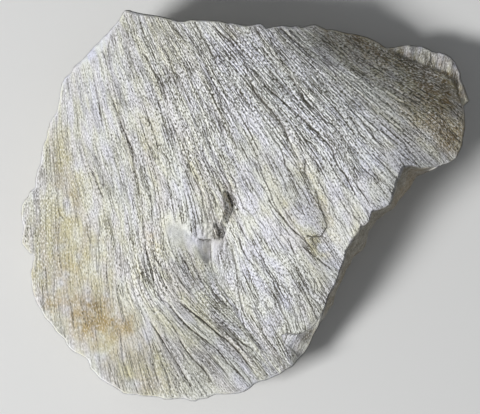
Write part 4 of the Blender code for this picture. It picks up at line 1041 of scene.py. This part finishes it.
        attr = mesh.attributes.new(name, 'FLOAT_VECTOR', 'POINT')
        attr.data.foreach_set('vector', full.astype(np.float32).ravel())

    # unwrapping: the face large, the walls as strips, the back smaller
    uv_layer = mesh.uv_layers.new(name="OFBake")
    uvs = np.zeros((count, 2))
    uvs[:face_n, 0] = 0.01 + (u[:face_n] - 20.0) / 451.0 * 0.735
    uvs[:face_n, 1] = 0.355 + (402.5 - v[:face_n]) / 392.0 * 0.639
    uvs[bed_base:, 0] = 0.01 + (u[bed_base:] - 20.0) / 451.0 * 0.38
    uvs[bed_base:, 1] = 0.01 + (402.5 - v[bed_base:]) / 392.0 * 0.33
    loops = np.zeros(len(mesh.loops), np.int32)
    mesh.loops.foreach_get('vertex_index', loops)
    poly_start = np.zeros(len(mesh.polygons), np.int32)
    poly_total = np.zeros(len(mesh.polygons), np.int32)
    mesh.polygons.foreach_get('loop_start', poly_start)
    mesh.polygons.foreach_get('loop_total', poly_total)
    owner = np.repeat(np.arange(len(poly_start)), poly_total)
    loop_uv = uvs[loops]
    # walls: ring r, step k
    loop_pos = {}
    wall_first = NU * NV
    wall_last = wall_first + RINGS * n
    face_of_loop = owner
    is_wall = (face_of_loop >= wall_first) & (face_of_loop < wall_last)
    ring_id = (face_of_loop - wall_first) // n
    step_id = (face_of_loop - wall_first) % n
    corner = np.arange(len(loops)) - poly_start[owner]
    # corner meaning depends on the winding: look it up from the vertex itself
    vert_ring = np.where(loops >= base, (loops - base) // n + 1, 0)
    lookup = np.full(base, -1)
    _, first = np.unique(mesh_loop_top := np.array(LOOP_TOP[0]), return_index=True)
    lookup[mesh_loop_top] = np.arange(n)
    vert_step = np.where(loops >= base, (loops - base) % n, lookup[np.minimum(loops, base - 1)])
    vert_step = np.where(is_wall & (vert_step == 0) & (step_id == n - 1), n, vert_step)
    run_edges = np.array([0, NU, NU + NV, 2 * NU + NV, n])
    run = np.searchsorted(run_edges, step_id, side='right') - 1
    run = np.clip(run, 0, 3)
    along = (vert_step - run_edges[run]) / np.maximum(1, (run_edges[run + 1] - run_edges[run]))
    down = vert_ring / RINGS
    wall_u = 0.41 + along * 0.58
    wall_v = 0.335 - run * 0.082 - down * 0.074
    loop_uv[is_wall, 0] = wall_u[is_wall]
    loop_uv[is_wall, 1] = wall_v[is_wall]
    is_join = face_of_loop >= wall_last
    uv_layer.data.foreach_set('uv', loop_uv.astype(np.float32).ravel())
    return mesh


LOOP_TOP = []
_order = ([(i, 0) for i in range(NU)] + [(NU, j) for j in range(NV)]
          + [(i, NV) for i in range(NU, 0, -1)] + [(0, j) for j in range(NV, 0, -1)])
LOOP_TOP.append([i * (NV + 1) + j for i, j in _order])


# ------------------------------------------------------------------ limestone
def limestone():
    mat = bpy.data.materials.new("limestone")
    mat.use_nodes = True
    nt = mat.node_tree
    nodes, links = nt.nodes, nt.links
    nodes.clear()
    out = nodes.new('ShaderNodeOutputMaterial')
    bsdf = nodes.new('ShaderNodeBsdfPrincipled')
    links.new(bsdf.outputs[0], out.inputs[0])
    bsdf.inputs['Specular IOR Level'].default_value = 0.25

    def attribute(name):
        a = nodes.new('ShaderNodeAttribute')
        a.attribute_name = name
        sep = nodes.new('ShaderNodeSeparateColor')
        links.new(a.outputs['Color'], sep.inputs[0])
        return sep.outputs

    def math(op, a, b=None, c=None, clamp=False):
        m = nodes.new('ShaderNodeMath')
        m.operation = op
        m.use_clamp = clamp
        for k, value in enumerate((a, b, c)):
            if value is None:
                continue
            if isinstance(value, (int, float)):
                m.inputs[k].default_value = value
            else:
                links.new(value, m.inputs[k])
        return m.outputs[0]

    def mix(fac, a, b, mode='MIX'):
        m = nodes.new('ShaderNodeMix')
        m.data_type = 'RGBA'
        m.blend_type = mode
        m.clamp_factor = True
        if isinstance(fac, (int, float)):
            m.inputs[0].default_value = fac
        else:
            links.new(fac, m.inputs[0])
        for k, value in ((6, a), (7, b)):
            if isinstance(value, tuple):
                m.inputs[k].default_value = value + (1.0,)
            else:
                links.new(value, m.inputs[k])
        return m.outputs[2]

    def grain(scale, detail, rough, distort=0.0):
        t = nodes.new('ShaderNodeTexNoise')
        t.inputs['Scale'].default_value = scale
        t.inputs['Detail'].default_value = detail
        t.inputs['Roughness'].default_value = rough
        t.inputs['Distortion'].default_value = distort
        links.new(coords, t.inputs['Vector'])
        return t.outputs['Fac']

    tc = nodes.new('ShaderNodeTexCoord')
    coords = tc.outputs['Object']
    a, b, c, d = attribute("tint_a"), attribute("tint_b"), attribute("tint_c"), attribute("marks")
    orange, brown_stain_and_shade, yellow = a[0], a[1], a[2]
    cool, hollow, side = b[0], b[1], b[2]
    streak, broad, wander = c[0], c[1], c[2]
    fresh_and_rim_highlight, striated, lined = d[0], d[1], d[2]

    place = nodes.new('ShaderNodeAttribute')
    place.attribute_name = "strand"
    split = nodes.new('ShaderNodeSeparateXYZ')
    links.new(place.outputs['Vector'], split.inputs[0])
    vigour = split.outputs[2]

    def vector_attribute(name):
        v = nodes.new('ShaderNodeAttribute')
        v.attribute_name = name
        sep = nodes.new('ShaderNodeSeparateXYZ')
        links.new(v.outputs['Vector'], sep.inputs[0])
        return sep.outputs

    cut_a, cut_b = vector_attribute("cut_a"), vector_attribute("cut_b")
    spare, widen, tone_and_painted_light = vector_attribute("pace")

    def flat_noise(across, along, shift, step):
        """Noise drawn out along the striations, centred on zero; cell sizes in plan units."""
        m = nodes.new('ShaderNodeVectorMath')
        m.operation = 'MULTIPLY_ADD'
        links.new(place.outputs['Vector'], m.inputs[0])
        m.inputs[1].default_value = (1.0 / across, 1.0 / along, 0.0)
        m.inputs[2].default_value = (shift + step / across, 1.7 * shift, 0.0)
        t = nodes.new('ShaderNodeTexNoise')
        t.noise_dimensions = '2D'
        t.inputs['Scale'].default_value = 1.0
        t.inputs['Detail'].default_value = 0.0
        t.inputs['Roughness'].default_value = 0.5
        links.new(m.outputs[0], t.inputs['Vector'])
        return math('SUBTRACT', t.outputs['Fac'], 0.5)

    def strand_noise(across, along, shift, step=0.0):
        """The same, with finer cells where the striations have spread apart."""
        m = nodes.new('ShaderNodeMix')
        m.data_type = 'FLOAT'
        links.new(spare, m.inputs[0])
        links.new(flat_noise(across, along, shift, step), m.inputs[2])
        links.new(flat_noise(0.5 * across, along, shift + 31.0, step), m.inputs[3])
        return m.outputs[0]

    def contour(field, width, gain=1.8):
        """1 round the level line of a field, 0 a width away."""
        return math('MULTIPLY_ADD', math('ABSOLUTE', field), -gain / width, gain, clamp=True)

    fine = grain(3400.0, 0.0, 0.6)
    mid = grain(420.0, 4.0, 0.6)
    large = grain(60.0, 4.0, 0.55)

    pit_field = nodes.new('ShaderNodeMix')
    pit_field.data_type = 'FLOAT'
    links.new(math('MULTIPLY_ADD', widen, 2.2, -2.2, clamp=True), pit_field.inputs[0])
    links.new(flat_noise(0.95, 2.5, 23.3, 0.0), pit_field.inputs[2])
    links.new(strand_noise(0.70, 2.5, 27.3), pit_field.inputs[3])
    pit_field = pit_field.outputs[0]

    def strand_line(across, along, shift, half):
        """Line of even width along the level line of a drawn-out noise."""
        level = strand_noise(across, along, shift)
        rise = math('ABSOLUTE', math('SUBTRACT', strand_noise(across, along, shift, 0.1 * across), level))
        # rise over a tenth of a cell; the floor keeps the turning places narrow
        rise = math('MAXIMUM', rise, 0.008)
        away = math('MULTIPLY', math('MULTIPLY', math('DIVIDE', level, rise), 0.1 * across), widen)
        straight = math('MULTIPLY_ADD', rise, 70.0, -0.55, clamp=True)
        return math('MULTIPLY', contour(math('MULTIPLY_ADD', pit_field, 2.6, away), half), straight)

    wave = strand_noise(1.8, 26.0, 3.1)
    open_a = math('MULTIPLY_ADD', flat_noise(8.0, 40.0, 7.7, 0.0), 6.0, 0.38, clamp=True)
    open_b = math('MULTIPLY_ADD', flat_noise(6.0, 26.0, 9.3, 0.0), 6.0, 0.50, clamp=True)
    line_a = math('MULTIPLY', strand_line(4.4, 60.0, 11.5, 0.57), open_a)
    line_b = math('MULTIPLY', strand_line(3.1, 44.0, 17.9, 0.50), open_b)
    # the grooves and cracks that the mesh carries, drawn sharp and dark: painted shade in their floors
    groove_floor_shade = math('MULTIPLY', contour(math('MULTIPLY_ADD', pit_field, 2.0, cut_a[0]), 0.78), cut_a[1])
    deep_a = math('MULTIPLY', contour(math('MULTIPLY_ADD', pit_field, 2.4, cut_a[2]), 0.63), cut_b[0])
    deep_b = math('MULTIPLY', contour(math('MULTIPLY_ADD', pit_field, 2.4, cut_b[1]), 0.54), cut_b[2])
    deep = math('MAXIMUM', groove_floor_shade, math('MAXIMUM', deep_a, math('MULTIPLY', deep_b, 0.8)))
    pits = math('MULTIPLY_ADD', pit_field, -14.0, -1.3, clamp=True)
    grains = math('MULTIPLY_ADD', pit_field, 10.0, -0.80, clamp=True)
    # round pits on the walls and broken facets, painted dark as shade
    specks = math('MULTIPLY_ADD', fine, -9.0, 3.75, clamp=True)

    cream = (0.745, 0.745, 0.695)
    white = (0.77, 0.782, 0.79)
    col = mix(math('MULTIPLY_ADD', large, 1.6, -0.3, clamp=True), cream, white)
    col = mix(math('MULTIPLY_ADD', broad, 2.4, -1.05, clamp=True), col, (0.735, 0.715, 0.60))
    col = mix(math('MULTIPLY_ADD', broad, -2.0, 0.85, clamp=True), col, (0.70, 0.73, 0.80))
    col = mix(math('MULTIPLY_ADD', streak, 1.4, -0.75, clamp=True), col, (0.80, 0.795, 0.78))
    col = mix(math('MULTIPLY_ADD', streak, -1.0, 0.34, clamp=True), col, (0.56, 0.555, 0.48))
    hue = math('ADD', math('MULTIPLY', flat_noise(6.0, 22.0, 41.3, 0.0), 4.5), math('MULTIPLY', flat_noise(15.0, 46.0, 43.9, 0.0), 4.5))
    col = mix(math('MULTIPLY', cool, 0.75), col, (0.70, 0.725, 0.80))
    col = mix(math('MULTIPLY', yellow, 0.85), col, (0.63, 0.595, 0.435))
    col = mix(math('MULTIPLY', hue, 1.0, clamp=True), col, (1.01, 1.008, 0.925), 'MULTIPLY')
    col = mix(math('MULTIPLY', hue, -1.0, clamp=True), col, (0.985, 0.972, 1.045), 'MULTIPLY')
    col = mix(math('MULTIPLY', orange, math('MULTIPLY_ADD', mid, 1.2, 0.15)), col, (0.535, 0.415, 0.215))
    # brown stains and patina, and painted shade on the torn wall, the corner facet and the upper right flank
    col = mix(math('MULTIPLY', brown_stain_and_shade, math('MULTIPLY_ADD', mid, 2.8, -0.68, clamp=True)), col, (0.27, 0.19, 0.075))
    walls = mix(math('MULTIPLY_ADD', mid, 3.6, -1.35, clamp=True), (0.30, 0.27, 0.21),
                mix(math('MULTIPLY_ADD', large, 2.6, -0.8, clamp=True), (0.47, 0.43, 0.35), (0.66, 0.64, 0.58)))
    # the broad tone multiplier, with its painted light and shade on the facets and the torn wall
    level = nodes.new('ShaderNodeCombineColor')
    for k in range(3):
        links.new(tone_and_painted_light, level.inputs[k])
    col = mix(1.0, col, level.outputs[0], 'MULTIPLY')
    stained = grain(34.0, 5.0, 0.62)
    walls = mix(math('MULTIPLY_ADD', stained, 5.0, -2.75, clamp=True), walls, (0.46, 0.36, 0.23))
    walls = mix(math('MULTIPLY_ADD', stained, -5.0, 2.05, clamp=True), walls, (0.72, 0.70, 0.64))
    chipped = grain(1250.0, 1.0, 0.6)
    walls = mix(math('MULTIPLY_ADD', chipped, -7.0, 2.75, clamp=True), walls, (0.33, 0.30, 0.245))
    walls = mix(math('MULTIPLY_ADD', chipped, 5.0, -2.95, clamp=True), walls, (0.74, 0.725, 0.68))
    col = mix(side, col, walls)
    # pale rim bevel: fresh stone, whiter on the lit sides as a painted highlight
    col = mix(math('MULTIPLY', fresh_and_rim_highlight, 0.85), col, (0.845, 0.862, 0.905))
    # dirt and painted shade in the hollows, lighter on the crests
    hollow_dirt_and_shade = math('MULTIPLY_ADD', hollow, 1.7, -0.95, clamp=True)
    col = mix(math('MULTIPLY', hollow_dirt_and_shade, 0.25), col, (0.25, 0.22, 0.17))
    crest = math('MULTIPLY_ADD', hollow, -1.6, 0.70, clamp=True)
    col = mix(math('MULTIPLY', crest, 0.35), col, (0.86, 0.855, 0.84))
    # white flecks on the grain crests: painted highlight
    grain_glint = math('MULTIPLY', math('MULTIPLY', grains, math('MULTIPLY_ADD', vigour, 0.85, 0.08)), math('MULTIPLY_ADD', brown_stain_and_shade, -0.20, 1.0, clamp=True))
    col = mix(grain_glint, col, (0.98, 0.98, 0.97))
    # fine dark lines and pits: painted shade in the striation grooves and pits
    drawn = math('MULTIPLY', lined, math('MULTIPLY_ADD', line_b, 0.60, line_a))
    drawn = math('MULTIPLY_ADD', pits, math('MULTIPLY_ADD', lined, -0.45, 1.15), drawn)
    drawn = math('MULTIPLY', drawn, math('MULTIPLY_ADD', vigour, 1.45, -0.13))
    col = mix(math('MULTIPLY', drawn, striated, clamp=True), col, (0.125, 0.117, 0.09))
    col = mix(math('MULTIPLY', specks, math('MULTIPLY_ADD', striated, -0.28, 0.42)), col, (0.18, 0.16, 0.125))
    # painted shade in the floors of the grooves and cracks
    col = mix(math('MULTIPLY', deep, 0.95, clamp=True), col, (0.09, 0.08, 0.062))
    links.new(col, bsdf.inputs['Base Color'])

    rough = math('MULTIPLY_ADD', mid, 0.16, 0.80)
    links.new(rough, bsdf.inputs['Roughness'])

    # heights in millimetres
    lines = math('ADD', math('MULTIPLY', wave, 0.34),
                 math('ADD', math('MULTIPLY', line_a, -0.22), math('ADD', math('MULTIPLY', line_b, -0.10), math('MULTIPLY', pits, -0.06))))
    lines = math('MULTIPLY', lines, math('MULTIPLY', striated, math('MULTIPLY_ADD', vigour, 0.80, 0.20)))
    lines = math('MULTIPLY_ADD', deep, -0.35, lines)
    rounded = math('ADD', math('MULTIPLY', mid, 0.12), math('MULTIPLY', fine, 0.12))
    broken = math('ADD', math('ADD', math('ADD', math('MULTIPLY', mid, 2.0), math('MULTIPLY', large, 3.5)), math('MULTIPLY', fine, 0.25)), math('MULTIPLY', chipped, 0.45))
    blend = nodes.new('ShaderNodeMix')
    blend.data_type = 'FLOAT'
    links.new(side, blend.inputs[0])
    links.new(rounded, blend.inputs[2])
    links.new(broken, blend.inputs[3])
    bump = nodes.new('ShaderNodeBump')
    bump.inputs['Strength'].default_value = 1.0
    bump.inputs['Distance'].default_value = 0.001
    links.new(math('ADD', lines, blend.outputs[0]), bump.inputs['Height'])
    links.new(bump.outputs[0], bsdf.inputs['Normal'])
    return mat


def plain(name, colour, rough):
    mat = bpy.data.materials.new(name)
    mat.use_nodes = True
    shader = mat.node_tree.nodes['Principled BSDF']
    shader.inputs['Base Color'].default_value = colour + (1.0,)
    shader.inputs['Roughness'].default_value = rough
    return mat


scene = bpy.context.scene
stone = bpy.data.objects.new("shatter_cone_stone", finish_mesh())
scene.collection.objects.link(stone)
stone.data.materials.append(limestone())
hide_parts("shatter_cone")
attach(stone, "root")

# ------------------------------------------------------------------ floor, light, camera
bpy.ops.mesh.primitive_plane_add(size=6.0, location=(0, 0, -0.0002))
floor = bpy.context.object
floor.name = "floor"
floor.data.materials.append(plain("pale_floor", (0.72, 0.72, 0.71), 0.9))


def area_light(name, bearing, height, distance, size, power, colour=(1, 1, 1)):
    """Bearing in degrees from +X, height in degrees above the floor."""
    data = bpy.data.lights.new(name, 'AREA')
    data.shape = 'SQUARE'
    data.size = size
    data.energy = power
    data.color = colour
    lamp = bpy.data.objects.new(name, data)
    b, h = np.radians(bearing), np.radians(height)
    place = Vector((distance * np.cos(h) * np.cos(b), distance * np.cos(h) * np.sin(b), distance * np.sin(h)))
    lamp.location = place
    lamp.rotation_euler = (-place).to_track_quat('-Z', 'Y').to_euler()
    scene.collection.objects.link(lamp)
    return lamp


area_light("key", 204, 44, 1.6, 0.45, 26.1, (1.0, 1.0, 1.0))
area_light("fill", 20, 60, 1.8, 1.6, 1.2, (0.95, 0.97, 1.0))
world = bpy.data.worlds.new("studio")
scene.world = world
world.use_nodes = True
world.node_tree.nodes['Background'].inputs[0].default_value = (0.93, 0.96, 1.0, 1.0)
world.node_tree.nodes['Background'].inputs[1].default_value = 0.17
scene.view_settings.view_transform = 'Standard'

cam_data = bpy.data.cameras.new("camera")
camera = bpy.data.objects.new("camera", cam_data)
scene.collection.objects.link(camera)
camera.location = ((240 - CENTRE[0]) / PPM * MM, (CENTRE[1] - 207) / PPM * MM, 1.6)
camera.rotation_euler = (0.0, 0.0, 0.0)
cam_data.sensor_width = 36.0
cam_data.lens = 36.0 * (1.6 - 0.022) / 0.160
cam_data.clip_end = 20.0
scene.camera = camera
